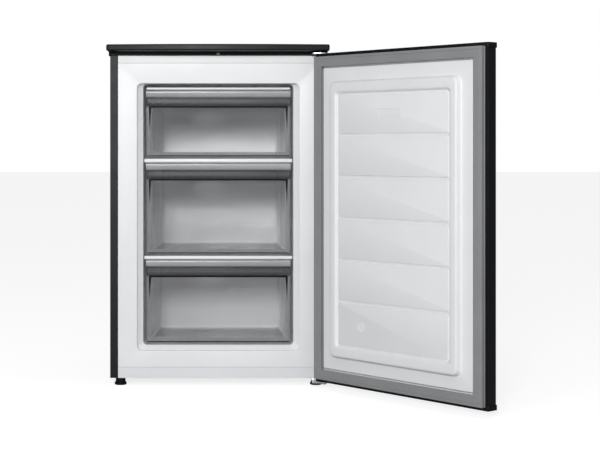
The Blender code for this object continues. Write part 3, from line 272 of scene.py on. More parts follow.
def quarter(steps):
    # sine and cosine at even steps of a quarter turn
    angles = [pi / 2 * step / steps for step in range(steps + 1)]
    return [(sin(angle), cos(angle)) for angle in angles]


def ringCorners(corners, radius, steps=8):
    # a convex outline, anticlockwise, with round corners
    outline = []
    count = len(corners)
    for index, corner in enumerate(corners):
        corner = Vector(corner)
        before = (Vector(corners[index - 1]) - corner).normalized()
        after = (Vector(corners[(index + 1) % count]) - corner).normalized()
        half = before.angle(after) / 2
        centre = corner + (before + after).normalized() * radius / sin(half)
        start = corner + before * radius * cos(half) / sin(half) - centre
        for step in range(steps + 1):
            spin = Matrix.Rotation((pi - 2 * half) * step / steps, 2)
            outline.append(centre + spin @ start)
    return outline


def frontRing(half, low, high, radius, y, steps=8):
    corners = ((-half, low), (half, low), (half, high), (-half, high))
    return [(x, y, z) for x, z in ringCorners(corners, radius, steps)]


def planRing(nearHalf, farHalf, near, far, radius, z, steps=8):
    corners = ((-nearHalf, near), (nearHalf, near), (farHalf, far), (-farHalf, far))
    return [(x, y, z) for x, y in ringCorners(corners, radius, steps)]


def loftShape(rings, closeRing=False, capFirst=True, capLast=True):
    shape = bmesh.new()
    loops = [[shape.verts.new(point) for point in ring] for ring in rings]
    if capFirst:
        shape.faces.new(loops[0])
    if capLast:
        shape.faces.new(loops[-1])
    pairs = list(zip(loops, loops[1:]))
    if closeRing:
        pairs.append((loops[-1], loops[0]))
    for lower, upper in pairs:
        for index in range(len(lower)):
            after = (index + 1) % len(lower)
            shape.faces.new((lower[index], lower[after], upper[after], upper[index]))
    return shape


def turnedShape(profile, segments=32):
    # (radius, height) from the top on the axis down to the foot, round Z
    shape = bmesh.new()
    rings = []
    for radius, height in profile:
        if radius < 0.00001:
            rings.append([shape.verts.new((0, 0, height))])
            continue
        rings.append([
            shape.verts.new((radius * cos(tau * step / segments),
                             radius * sin(tau * step / segments), height))
            for step in range(segments)
        ])
    for upper, lower in zip(rings, rings[1:]):
        for step in range(segments):
            after = (step + 1) % segments
            if len(upper) == 1:
                shape.faces.new((upper[0], lower[step], lower[after]))
            elif len(lower) == 1:
                shape.faces.new((upper[step], lower[0], upper[after]))
            else:
                shape.faces.new((upper[step], lower[step], lower[after], upper[after]))
    return shape


def blockShape(low, high, radius=0.0, segments=3):
    shape = bmesh.new()
    low, high = Vector(low), Vector(high)
    place = Matrix.Translation((low + high) / 2) @ Matrix.Diagonal((*(high - low), 1))
    bmesh.ops.create_cube(shape, size=1, matrix=place)
    if radius:
        bmesh.ops.bevel(shape, geom=shape.edges[:], offset=radius, segments=segments,
                        profile=0.5, affect="EDGES")
    return shape


def joinShapes(shapes):
    whole = bmesh.new()
    for shape in shapes:
        mesh = bpy.data.meshes.new("part")
        shape.to_mesh(mesh)
        shape.free()
        whole.from_mesh(mesh)
        bpy.data.meshes.remove(mesh)
    return whole


def softPath(points, radius, steps=6):
    # a line through points with each corner turned to an arc
    path = [Vector(points[0])]
    for before, corner, after in zip(points, points[1:], points[2:]):
        corner, before, after = Vector(corner), Vector(before), Vector(after)
        reach = min(radius, (before - corner).length * 0.48, (after - corner).length * 0.48)
        start = corner + (before - corner).normalized() * reach
        end = corner + (after - corner).normalized() * reach
        for step in range(steps + 1):
            t = step / steps
            path.append(start * (1 - t) ** 2 + corner * 2 * t * (1 - t) + end * t * t)
    path.append(Vector(points[-1]))
    return path


def sheetRing(path, thickness):
    # the closed outline of a bent sheet: the path, and the path moved to its left
    moved = []
    for index, point in enumerate(path):
        sides = []
        if index > 0:
            sides.append(path[index] - path[index - 1])
        if index < len(path) - 1:
            sides.append(path[index + 1] - path[index])
        lefts = [Vector((-side.y, side.x)).normalized() for side in sides]
        mitre = sum(lefts, Vector((0, 0))) / len(lefts)
        moved.append(point + mitre * thickness / max(mitre.length_squared, 0.25))
    return list(path) + moved[::-1]


def acrossShape(outline, low, high):
    # an outline of (y, z) drawn out along X
    rings = [[(x, y, z) for y, z in outline] for x in (low, high)]
    return loftShape(rings)


def newTree(name, inputs):
    tree = bpy.data.node_groups.new(name, "GeometryNodeTree")
    shape = "NodeSocketGeometry"
    tree.interface.new_socket("Geometry", in_out="INPUT", socket_type=shape)
    for label, kind in inputs:
        tree.interface.new_socket(label, in_out="INPUT", socket_type="NodeSocket" + kind)
    tree.interface.new_socket("Geometry", in_out="OUTPUT", socket_type=shape)
    return tree, tree.nodes.new("NodeGroupInput")


def closeTree(tree, source, given):
    real = tree.nodes.new("GeometryNodeRealizeInstances")
    paint = tree.nodes.new("GeometryNodeSetMaterial")
    out = tree.nodes.new("NodeGroupOutput")
    link(tree, source, real.inputs["Geometry"])
    linkAll(tree, (real, "Geometry", paint, "Geometry"), (given, "Material", paint, "Material"),
            (paint, "Geometry", out, "Geometry"))
    return tree


def rowTree():
    # copies of the piece along a straight line
    tree, given = newTree("copiesInARow", [
        ("Count", "Int"), ("Start", "Vector"), ("Step", "Vector"), ("Material", "Material")])
    line = tree.nodes.new("GeometryNodeMeshLine")
    copies = tree.nodes.new("GeometryNodeInstanceOnPoints")
    linkAll(tree, (given, "Count", line, "Count"), (given, "Start", line, "Start Location"),
            (given, "Step", line, "Offset"), (line, "Mesh", copies, "Points"),
            (given, "Geometry", copies, "Instance"))
    return closeTree(tree, copies.outputs["Instances"], given)


def ringTree():
    # copies of the piece turned about its own Z axis
    tree, given = newTree("copiesInARing", [
        ("Count", "Int"), ("Turn", "Float"), ("Material", "Material")])
    line = tree.nodes.new("GeometryNodeMeshLine")
    line.inputs["Offset"].default_value = (0, 0, 0)
    copies = tree.nodes.new("GeometryNodeInstanceOnPoints")
    index = tree.nodes.new("GeometryNodeInputIndex")
    angle = tree.nodes.new("ShaderNodeMath")
    angle.operation = "MULTIPLY"
    spin = tree.nodes.new("ShaderNodeCombineXYZ")
    linkAll(tree, (given, "Count", line, "Count"), (line, "Mesh", copies, "Points"),
            (given, "Geometry", copies, "Instance"), (index, 0, angle, 0),
            (given, "Turn", angle, 1), (angle, 0, spin, "Z"), (spin, 0, copies, "Rotation"))
    return closeTree(tree, copies.outputs["Instances"], given)


def tubeTree():
    # a round tube along the piece's edges, with its bends filleted
    tree, given = newTree("tubeAlongLine", [
        ("Radius", "Float"), ("Bend", "Float"), ("Bend Steps", "Int"), ("Sides", "Int"),
        ("Material", "Material")])
    curve = tree.nodes.new("GeometryNodeMeshToCurve")
    fillet = tree.nodes.new("GeometryNodeFilletCurve")
    fillet.mode = "POLY"
    fillet.inputs["Limit Radius"].default_value = True
    profile = tree.nodes.new("GeometryNodeCurvePrimitiveCircle")
    tube = tree.nodes.new("GeometryNodeCurveToMesh")
    tube.inputs["Fill Caps"].default_value = True
    linkAll(tree, (given, "Geometry", curve, "Mesh"), (curve, "Curve", fillet, "Curve"),
            (given, "Bend", fillet, "Radius"), (given, "Bend Steps", fillet, "Count"),
            (given, "Radius", profile, "Radius"), (given, "Sides", profile, "Resolution"),
            (fillet, "Curve", tube, "Curve"), (profile, "Curve", tube, "Profile Curve"))
    return closeTree(tree, tube.outputs["Mesh"], given)


trees = {"row": rowTree(), "ring": ringTree(), "tube": tubeTree()}


def grown(mesh, treeName, **values):
    # the plain mesh that the tree makes of this one
    tree = trees[treeName]
    holder = bpy.data.objects.new("holder", mesh)
    bpy.context.scene.collection.objects.link(holder)
    modifier = holder.modifiers.new("Grow", "NODES")
    modifier.node_group = tree
    for item in tree.interface.items_tree:
        if item.in_out == "INPUT" and item.name in values:
            modifier[item.identifier] = values[item.name]
    bpy.context.view_layer.update()
    graph = bpy.context.evaluated_depsgraph_get()
    made = bpy.data.meshes.new_from_object(holder.evaluated_get(graph))
    bpy.data.objects.remove(holder)
    return made


def rowOf(shape, material, count, start, step):
    return grown(meshOf("unit", shape), "row", Count=count, Start=Vector(start),
                 Step=Vector(step), Material=materials[material])


def ringOf(shape, material, count):
    return grown(meshOf("unit", shape), "ring", Count=count, Turn=tau / count,
                 Material=materials[material])


def tubeOf(points, material, radius, bend, sides=12, bendSteps=8):
    mesh = bpy.data.meshes.new("line")
    mesh.from_pydata([tuple(point) for point in points],
                     [(index, index + 1) for index in range(len(points) - 1)], [])
    values = {"Radius": radius, "Bend": bend, "Bend Steps": bendSteps, "Sides": sides,
              "Material": materials[material]}
    return grown(mesh, "tube", **values)


def asShape(mesh, turn=None):
    shape = bmesh.new()
    shape.from_mesh(mesh)
    if turn is not None:
        bmesh.ops.transform(shape, matrix=turn, verts=shape.verts)
    return shape


view = dict(distance=3.60, side=0.0426, height=0.598, lens=86.4, shiftX=0.108, shiftY=-0.131)


def makeCamera():
    data = bpy.data.cameras.new("camera")
    camera = bpy.data.objects.new("camera", data)
    bpy.context.scene.collection.objects.link(camera)
    place = Vector((view["side"], -view["distance"], view["height"]))
    camera.location = middle + place
    camera.rotation_euler = (radians(90), 0, 0)
    data.lens = view["lens"]
    data.shift_x = view["shiftX"]
    data.shift_y = view["shiftY"]
    bpy.context.scene.camera = camera


lights = {
    "front": dict(place=(-0.30, -4.2, 1.45), size=1.0, power=96),
    "frontLeft": dict(place=(-1.9, -3.6, 1.2), size=1.6, power=26),
    "frontRight": dict(place=(2.0, -3.6, 1.0), size=1.6, power=6),
    "over": dict(place=(-0.2, -2.6, 3.2), size=1.6, power=14),
}
studio = dict(world=0.22, backdrop=1.0, floorGlow=0.80, floorTone=0.42)


def makeLights():
    target = middle + Vector((0, 0, 0.4))
    for name, light in lights.items():
        data = bpy.data.lights.new(name, "AREA")
        data.shape = "DISK"
        data.size = light["size"]
        data.energy = light["power"]
        made = bpy.data.objects.new(name, data)
        bpy.context.scene.collection.objects.link(made)
        made.location = middle + Vector(light["place"])
        made.rotation_euler = (made.location - target).to_track_quat("Z", "Y").to_euler()
    world = bpy.data.worlds.new("studio")
    world.use_nodes = True
    tree = world.node_tree
    light = tree.nodes["Background"]
    light.inputs["Color"].default_value = (1.0, 1.0, 1.0, 1)
    light.inputs["Strength"].default_value = studio["world"]
    backdrop = tree.nodes.new("ShaderNodeBackground")
    backdrop.inputs["Strength"].default_value = studio["backdrop"]
    backdrop.inputs["Color"].default_value = (1.0, 1.0, 1.0, 1)
    seen = tree.nodes.new("ShaderNodeLightPath")
    either = tree.nodes.new("ShaderNodeMixShader")
    linkAll(tree, (seen, "Is Camera Ray", either, "Fac"), (light, "Background", either, 1),
            (backdrop, "Background", either, 2))
    link(tree, either.outputs["Shader"], tree.nodes["World Output"].inputs["Surface"])
    bpy.context.scene.world = world
    bpy.context.scene.view_settings.view_transform = "Standard"


def makeFloor():
    mesh = bpy.data.meshes.new("floor")
    reach = 30
    mesh.from_pydata([(-reach, -reach, 0), (reach, -reach, 0), (reach, reach, 0),
                      (-reach, reach, 0)], [], [(0, 1, 2, 3)])
    floor = bpy.data.objects.new("floor", mesh)
    bpy.context.scene.collection.objects.link(floor)
    made, tree, shader, coordinates = newMaterial("paleFloor")
    soft = noiseNode(tree, coordinates, 0.6, 2)
    tone = studio["floorTone"]
    link(tree, mixColours(tree, soft, (tone, tone, tone), (tone + 0.02, tone + 0.02, tone + 0.02)),
         shader.inputs["Base Color"])
    shader.inputs["Roughness"].default_value = 0.9
    shader.inputs["Emission Color"].default_value = (1, 1, 1, 1)
    seen = tree.nodes.new("ShaderNodeLightPath")
    glow = mapped(tree, seen.outputs["Is Camera Ray"], 0.0, studio["floorGlow"], 0, 1)
    link(tree, glow, shader.inputs["Emission Strength"])
    mesh.materials.append(made)


makeCamera()
makeLights()
makeFloor()
print("camera, lights and floor ready")


worktopSize = dict(bow=0.014, bowSteps=40, corner=0.006, edge=0.0034)


def makeWorktop():
    low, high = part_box("worktop")
    half = (high.x - low.x) / 2
    middleX = (high.x + low.x) / 2
    back = high.y
    bow, corner = worktopSize["bow"], worktopSize["corner"]
    sideFront = low.y + bow
    bowHalf = half - corner
    radius = (bowHalf ** 2 + bow ** 2) / (2 * bow)
    outline = [(half, sideFront + corner), (half, back), (-half, back),
               (-half, sideFront + corner)]
    arc = quarter(8)[1:-1]
    for rise, fall in arc:
        outline.append((-bowHalf - corner * fall, sideFront + corner - corner * rise))
    bowSteps = worktopSize["bowSteps"]
    for step in range(-bowSteps, bowSteps + 1):
        x = bowHalf * step / bowSteps
        outline.append((x, sideFront - bow + radius - sqrt(radius ** 2 - x ** 2)))
    for rise, fall in arc:
        outline.append((bowHalf + corner * rise, sideFront + corner - corner * fall))
    rings = [[(middleX + x, y, z) for x, y in outline] for z in (low.z, high.z)]
    mesh = meshOf("worktop", loftShape(rings))
    made = addPiece("worktop_slab", mesh, "charcoalTop", "cabinet", ("worktop",))
    bevel(made, worktopSize["edge"], 5, 60)


def makeShell():
    for node, material, width, segments in (
            ("worktop_frame", "mouldedBlack", 0.0010, 2), ("frame_plug", "greyPlastic", 0, 2),
            ("left_side_panel", "satinBlack", 0.0005, 2),
            ("right_side_panel", "satinBlack", 0.0005, 2),
            ("top_front_rail", "whiteSteel", 0, 2), ("bottom_front_rail", "whiteSteel", 0, 2),
            ("back_panel", "zincSheet", 0.0002, 1), ("bottom_panel", "zincSheet", 0.0002, 1),
            ("bay_panel", "zincSheet", 0.0003, 2), ("compressor_tray", "zincSheet", 0.0005, 2),
            ("cabinet_foam", "foamYellow", 0, 2)):
        refine(node, material, "cabinet", width, segments)


linerSize = dict(wall=0.0018, mouthHalf=0.204, mouthLow=0.0855, mouthTopMargin=0.0487,
                 mouthRadius=0.013, lip=0.0015, collar=0.0105, depth=0.430, funnel=0.023,
                 funnelSide=0.016, funnelEnd=0.014, funnelTop=0.0020, draft=0.002,
                 spaceRadius=0.010, stepFront=0.332, stepTop=0.300)


def movedFrames(frames, distance):
    # frames (half, low, high, radius, y) of a surface, moved along its normal
    moved = []
    for index, (half, low, high, radius, y) in enumerate(frames):
        sides = []
        if index > 0:
            sides.append(Vector((half - frames[index - 1][0], y - frames[index - 1][4])))
        if index < len(frames) - 1:
            sides.append(Vector((frames[index + 1][0] - half, frames[index + 1][4] - y)))
        else:
            sides.append(Vector((-1, 0)))
        normals = [Vector((side.y, -side.x)).normalized() for side in sides]
        mitre = sum(normals, Vector((0, 0))) / len(normals)
        shift = mitre * distance / mitre.length_squared
        corner = max(radius + shift.x, 0.0008)
        moved.append((half + shift.x, low - shift.x, high + shift.x, corner, y + shift.y))
    return moved


def trayShape(frames, wall, steps=8):
    back = movedFrames(frames, wall)
    back[0] = (*frames[0][:4], back[0][4])
    rings = [frontRing(*ring, steps) for ring in back[::-1] + frames]
    return loftShape(rings)


def booleanMesh(first, second, operation):
    # exact Boolean of two closed meshes, as a new mesh
    objects = [bpy.data.objects.new("solid", mesh) for mesh in (first, second)]
    for obj in objects:
        bpy.context.scene.collection.objects.link(obj)
    modifier = objects[0].modifiers.new("Cut", "BOOLEAN")
    modifier.operation = operation
    modifier.solver = "EXACT"
    modifier.object = objects[1]
    bpy.context.view_layer.update()
    graph = bpy.context.evaluated_depsgraph_get()
    made = bpy.data.meshes.new_from_object(objects[0].evaluated_get(graph))
    for obj in objects:
        bpy.data.objects.remove(obj)
    return made


def linerFrames():
    size = linerSize
    half = linerHigh.x - middle.x
    low, high = linerLow.z, linerHigh.z
    mouthTop = high - size["mouthTopMargin"]
    mouthHalf, mouthLow, radius = size["mouthHalf"], size["mouthLow"], size["mouthRadius"]
    spaceHalf = mouthHalf - size["funnelSide"]
    spaceLow = mouthLow + size["funnelEnd"]
    spaceTop = mouthTop - size["funnelTop"]
    frames = [(half, low, high, 0.0008, 0)]
    # a small round, a straight collar, then the funnel, a second round and the walls
    lip = size["lip"]
    for rise, fall in quarter(5):
        inset = lip * rise
        frames.append((mouthHalf - inset, mouthLow + inset, mouthTop - inset, radius,
                       lip * (1 - fall)))
    frames.append((mouthHalf - lip, mouthLow + lip, mouthTop - lip, radius, size["collar"]))
    frames.append((spaceHalf + 0.001, spaceLow - 0.001, spaceTop + 0.0002,
                   size["spaceRadius"] + 0.001, size["funnel"] - 0.003))
    frames.append((spaceHalf, spaceLow, spaceTop, size["spaceRadius"], size["funnel"] + 0.002))
    narrow = spaceHalf - size["draft"]
    frames.append((narrow, spaceLow, spaceTop, size["spaceRadius"], size["depth"]))
    return frames


def makeLiner():
    size = linerSize
    frames = linerFrames()
    wall = size["wall"]
    shell = meshOf("liner", trayShape(frames, wall, 10))
    narrow, spaceLow = frames[-1][0], frames[-1][1]
    front, top, deep = size["stepFront"], size["stepTop"], size["depth"]
    cutter = meshOf("cutter", blockShape((-0.3, front, 0), (0.3, 0.5, top)))
    opened = booleanMesh(shell, cutter, "DIFFERENCE")
    path = softPath([(deep + wall * 0.4, top), (front, top), (front, spaceLow - wall * 0.5)],
                    0.012)
    outline = sheetRing([Vector((y, z)) for y, z in path][::-1], -wall)
    step = meshOf("step", acrossShape(outline, -narrow - wall * 0.5, narrow + wall * 0.5))
    core = [frontRing(*ring, 10) for ring in movedFrames(frames, wall / 2)[1:]]
    step = booleanMesh(step, meshOf("core", loftShape(core)), "INTERSECT")
    mesh = booleanMesh(opened, step, "UNION")
    addPiece("inner_liner_moulding", mesh, "whiteLiner", "cabinet",
             ("inner_liner",), cabinetTurn, 25)


makeWorktop()
makeShell()
makeLiner()
print("cabinet shell done")


def cabinetBox(node):
    # a node's box in the cabinet's own frame
    low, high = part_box(node)
    return low - middle, high - middle


def cabinetPiece(name, shape, material, body, replaced=()):
    # a shape made in the cabinet's own frame
    return addPiece(name, meshOf(name, shape), material, body, replaced, cabinetTurn)


def solidBlock(name, low, high, radius, material, body, replaced=(), segments=3):
    return cabinetPiece(name, blockShape(low, high, radius, segments), material, body, replaced)


def outlineShape(outline, low, high):
    # an outline of (x, z) drawn out along Y
    return loftShape([[(x, y, z) for x, z in outline] for y in (low, high)])


# shelves: a rounded front bar, and the evaporator coil on its straps
shelfSize = dict(round=0.0028, tube=0.0025, passes=8, strap=0.0035,
                 strapShare=0.55)


def snakePoints(half, start, pitch, passes):
    points = []
    for index in range(passes):
        side = 1 if index % 2 == 0 else -1
        points.append((-side * half, start + index * pitch))
        points.append((side * half, start + index * pitch))
    return points


def makeShelves():
    size = shelfSize
    for level in ("top", "middle", "low"):
        low, high = cabinetBox(level + "_shelf_trim")
        solidBlock(level + "_shelf_bar", low, high, min(size["round"], (high.z - low.z) * 0.42),
                   "whiteLiner", "cabinet", (level + "_shelf_trim",), segments=4)
        low, high = cabinetBox(level + "_evaporator_coil")
        name = level + "_shelf_coil"
        tube = size["tube"]
        centre = (low.z + high.z) / 2
        pitch = (high.y - low.y - 2 * tube) / (size["passes"] - 1)
        half = high.x - tube
        route = snakePoints(half, low.y + tube, pitch, size["passes"])
        shapes = [asShape(tubeOf([(x, y, centre) for x, y in route], "whiteSteel", tube,
                                 pitch / 2, 12, 6))]
        for x in (-size["strapShare"] * half, 0, size["strapShare"] * half):
            shapes.append(blockShape((x - size["strap"], low.y, low.z),
                                     (x + size["strap"], high.y, centre - tube * 0.4), 0.0003, 1))
        cabinetPiece(name, joinShapes(shapes), "whiteSteel", "cabinet",
                     (level + "_evaporator_coil",))


# drawers: the front's ledge, hollow, window and frame, and the tub behind it
drawerSize = dict(wall=0.0024, ledge=0.0095, under=0.0175, band=0.040,
                  setback=0.003, grip=0.016, side=0.011, foot=0.0135, lineHalf=0.0090,
                  lineLong=0.062, line=0.0036, lowLine=0.0030, taper=0.016, radius=0.012,
                  footRound=0.009, floorSlope=0.75, openingEdge=0.0010)


def drawerLedge(name, half, face, hollow, top, body):
    size = drawerSize
    path = softPath([(face + 0.006, top), (face, top - 0.0015), (face, top - size["ledge"]),
                     (face + 0.005, top - size["under"]), (hollow, top - size["under"] - 0.001)],
                    0.005, 5)
    outline = sheetRing([Vector((y, z)) for y, z in path], size["wall"])
    made = cabinetPiece(name, acrossShape(outline, -half, half), "smokeLedge", body)
    bevel(made, 0.0005, 2, 50)


def drawerHollow(name, half, window, hollow, top, bottom, body):
    # the finger hollow's back and the front's returns along both sides, dark with painted shade
    size = drawerSize
    wall = size["wall"]
    band = top - size["band"]
    path = softPath([(hollow, top - size["under"] - 0.0015), (hollow, band + 0.007),
                     (window, band + 0.0006)], 0.004, 5)
    outline = sheetRing([Vector((y, z)) for y, z in path], wall)
    shapes = [acrossShape(outline, -half + wall, half - wall)]
    for side in (-1, 1):
        edges = sorted((side * half, side * (half - wall * 0.8)))
        shapes.append(blockShape((edges[0], window + wall, bottom),
                                 (edges[1], hollow, top - 0.002), 0.0003, 1))
    addPiece(name, meshOf(name, joinShapes(shapes)), "paintedShadeSmoke", body, (),
             cabinetTurn)


def windowEdges(half, top, bottom):
    # half width, sill and upper edge of the clear window
    size = drawerSize
    return half - size["side"], bottom + size["foot"], top - size["band"]


def drawerWindow(name, half, window, top, bottom, body, replaced):
    size = drawerSize
    wide, low, band = windowEdges(half, top, bottom)
    solidBlock(name, (-wide, window + 0.0002, low), (wide, window + size["wall"], band), 0.0004,
               "smokeWindow", body, replaced, segments=2)


def drawerFrame(name, half, window, top, bottom, body):
    size = drawerSize
    wide, low, band = windowEdges(half, top, bottom)
    outline = [(-half, band), (-half, bottom), (half, bottom), (half, band), (wide, band),
               (wide, low), (-wide, low), (-wide, band)]
    made = cabinetPiece(name, outlineShape(outline, window - 0.0006,
                                                    window + size["wall"]), "smokeFrame", body)
    bevel(made, 0.0006, 2, 50)


def drawerShadowLines(name, half, window, top, bottom, body):
    # a painted shadow line, near-black: across under the hollow and tapering down both sides, and
    # one along the foot
    size = drawerSize
    line = size["line"]
    reach = half - size["lineHalf"]
    band = top - size["band"]
    end = band - size["lineLong"]
    outline = [(-reach, end), (-reach + line, band - line), (reach - line, band - line),
               (reach, end), (reach + line * 0.6, band - 0.002), (reach, band + line * 0.3),
               (-reach, band + line * 0.3), (-reach - line * 0.6, band - 0.002)]
    shapes = [outlineShape(outline, window - 0.0010, window - 0.0007)]
    low = bottom + size["lowLine"]
    foot = [(-half + 0.003, low), (half - 0.003, low), (half - 0.003, low + line * 0.6),
            (-half + 0.003, low + line * 0.6)]
    shapes.append(outlineShape(foot, window - 0.0010, window - 0.0007))
    addPiece(name, meshOf(name, joinShapes(shapes)), "paintedShadowLine", body, (),
             cabinetTurn)


bumpSize = dict(radius=0.0050, height=0.0020, count=5, step=0.058, fromFront=0.030)


def drawerTub(name, low, high, sill, band, body, replaced):
    # the front wall is cut away behind the window
    size = drawerSize
    wall, radius, foot = size["wall"], size["radius"], size["footRound"]
    wide = high.x
    narrow = wide - size["taper"]
    near, far, bottom, rim = low.y, high.y, low.z, high.z
    rings = []
    for rise, fall in quarter(5):
        inset = foot * (1 - rise)
        z = bottom + foot * (1 - fall)
        rings.append(planRing(wide - inset, narrow - inset, near + inset, far - inset,
                              radius, z))
    rings.append(planRing(wide, narrow, near, far, radius, rim - 0.0015))
    lip = 0.0006
    rings.append(planRing(wide - lip, narrow - lip, near + lip, far - lip, radius - lip, rim))
    inner = wall - lip
    rings.append(planRing(wide - inner, narrow - inner, near + inner, far - inner,
                          radius - inner, rim))
    rings.append(planRing(wide - wall, narrow - wall, near + wall, far - wall, radius - wall,
                          rim - 0.0015))
    inside = radius - wall
    for rise, fall in quarter(5)[::-1]:
        inset = wall + (foot - wall * 0.5) * (1 - rise)
        z = bottom + wall + foot * (1 - fall)
        rings.append(planRing(wide - inset, narrow - inset, near + inset, far - inset, inside, z))
    reach = wide - radius - size["openingEdge"]
    sill = max(sill, bottom + foot + size["openingEdge"])
    cutter = blockShape((-reach, near - wall, sill), (reach, near + wall * 2, band), 0.0)
    mesh = booleanMesh(meshOf(name, loftShape(rings)), meshOf("cutter", cutter), "DIFFERENCE")
    made = addPiece(name, mesh, "smokeTub", body, replaced, cabinetTurn)
    # faces that point up or down, the floor, take the darker grey as painted shade
    made.data.materials.append(materials["paintedShadeFloor"])
    for polygon in made.data.polygons:
        if abs(polygon.normal.z) > size["floorSlope"]:
            polygon.material_index = 1


def drawerBumps(name, low, body):
    # small stand-offs moulded into the floor near the front, dark with painted shade
    size = bumpSize
    rounds = [(0, size["height"])]
    for rise, fall in quarter(4)[1:]:
        rounds.append((size["radius"] * rise, size["height"] * fall))
    start = (-size["step"] * (size["count"] - 1) / 2, low.y + size["fromFront"], low.z + 0.0024)
    mesh = rowOf(turnedShape(rounds, 16), "paintedShadeSmoke", size["count"], start,
                 (size["step"], 0, 0))
    shape = asShape(mesh)
    bmesh.ops.holes_fill(shape, edges=[edge for edge in shape.edges if edge.is_boundary])
    cabinetPiece(name, shape, "paintedShadeSmoke", body)


def makeDrawers():
    size = drawerSize
    for level in ("top", "middle", "bottom"):
        body = level + "_drawer"
        low, high = cabinetBox(body + "_front")
        half, face, top, bottom = high.x, low.y, high.z, low.z
        window = face + size["setback"]
        hollow = window + size["grip"]
        drawerLedge(body + "_ledge", half, face, hollow, top, body)
        drawerHollow(body + "_hollow", half, window, hollow, top, bottom, body)
        drawerWindow(body + "_window", half, window, top, bottom, body, (body + "_front",))
        drawerFrame(body + "_border", half, window, top, bottom, body)
        drawerShadowLines(body + "_lines", half, window, top, bottom, body)
        low, high = cabinetBox(body + "_tub")
        drawerTub(body + "_bin", low, high, bottom + size["foot"], top - size["band"], body,
                  (body + "_tub",))
        drawerBumps(body + "_bumps", low, body)


# feet: a ribbed round pad under a waist, the front ones on a threaded stem
footSize = dict(ribs=24, rib=0.0007, stem=0.0038, thread=0.0004, pitch=0.0014, seat=0.0187,
                seatUnderBracket=0.0125, waist=0.78, middle=0.62, tallest=0.0145)


def makeFoot(name, stemmed, body):
    low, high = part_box(name)
    centre = Vector(((low.x + high.x) / 2, (low.y + high.y) / 2, 0))
    radius = (high.x - low.x) / 2
    size = footSize
    seat = high.z
    if stemmed:
        seat = size["seatUnderBracket"] if "right" in name else size["seat"]
    waist = radius * size["waist"]
    mid = min(size["tallest"], seat) * size["middle"]
    profile = [(0, seat), (waist - 0.0006, seat), (waist, seat - 0.0006), (waist, mid + 0.001),
               (waist + 0.0008, mid), (radius - 0.0012, mid * 0.76), (radius, mid * 0.66),
               (radius, 0.0014), (radius - 0.0005, 0.0004), (radius - 0.0014, 0), (0, 0)]
    shapes = [turnedShape(profile, 40)]
    ribLow = (waist - 0.0004, -size["rib"], mid + 0.0012)
    ribHigh = (waist + size["rib"], size["rib"], seat - 0.001)
    if seat - mid > 0.003:
        shapes.append(asShape(ringOf(blockShape(ribLow, ribHigh, 0.0002, 1), "mouldedBlack",
                                     size["ribs"])))
    if stemmed:
        stem = [(0, high.z), (size["stem"] - 0.0006, high.z)]
        z = high.z - 0.0008
        while z > seat + size["pitch"]:
            stem += [(size["stem"], z), (size["stem"] - size["thread"], z - size["pitch"] / 2)]
            z -= size["pitch"]
        stem += [(size["stem"], seat - 0.0005), (0, seat - 0.0005)]
        shapes.append(turnedShape(stem, 20))
    mesh = meshOf(name, joinShapes(shapes))
    addPiece(name + "_moulding", mesh, "mouldedBlack", body, (name,),
             Matrix.Translation(centre))


def makeFeet():
    for side in ("left", "right"):
        makeFoot(f"front_{side}_foot", True, f"front_{side}_foot")
        makeFoot(f"rear_{side}_foot", False, "cabinet")


makeShelves()
makeDrawers()
makeFeet()
print("shelves, drawers and feet done")


# the door is made shut in the cabinet's frame and turned open on its hinge
doorSize = dict(half=0.272, bottom=0.018, top=0.8268, inner=-0.0136, outer=-0.0429, cap=0.012,
                lip=0.008, wall=0.0018, gap=0.0003)
linerSteps = dict(flange=0.0086, flangeSlope=0.002, plinth=0.014, plinthSide=0.069,
                  plinthEnd=0.069, plinthTopEnd=0.071, slope=0.003, rimSide=0.0185,
                  rimEnd=0.0235, recess=0.0062, recessSlope=0.004, pads=6, padHeight=0.0022,
                  groove=0.0055, margin=0.003, lowShare=0.178, padRound=0.0045)
sealSize = dict(width=0.025, side=0.007, end=0.0085)


def softFrames(frames, reaches, steps=5):
    # turns each inner frame (half, low, high, radius, y) of a surface to a small arc
    made = [frames[0]]
    for index in range(1, len(frames) - 1):
        before, corner, after = frames[index - 1], frames[index], frames[index + 1]
        reach = reaches[index]
        if not reach:
            made.append(corner)
            continue
        ends = []
        for other in (before, after):
            span = sqrt((other[0] - corner[0]) ** 2 + (other[4] - corner[4]) ** 2)
            share = min(reach / span, 0.46)
            ends.append([c + (o - c) * share for c, o in zip(corner, other)])
        for step in range(steps + 1):
            t = step / steps
            made.append(tuple(a * (1 - t) ** 2 + c * 2 * t * (1 - t) + b * t * t
                              for a, c, b in zip(ends[0], corner, ends[1])))
    made.append(frames[-1])
    return made


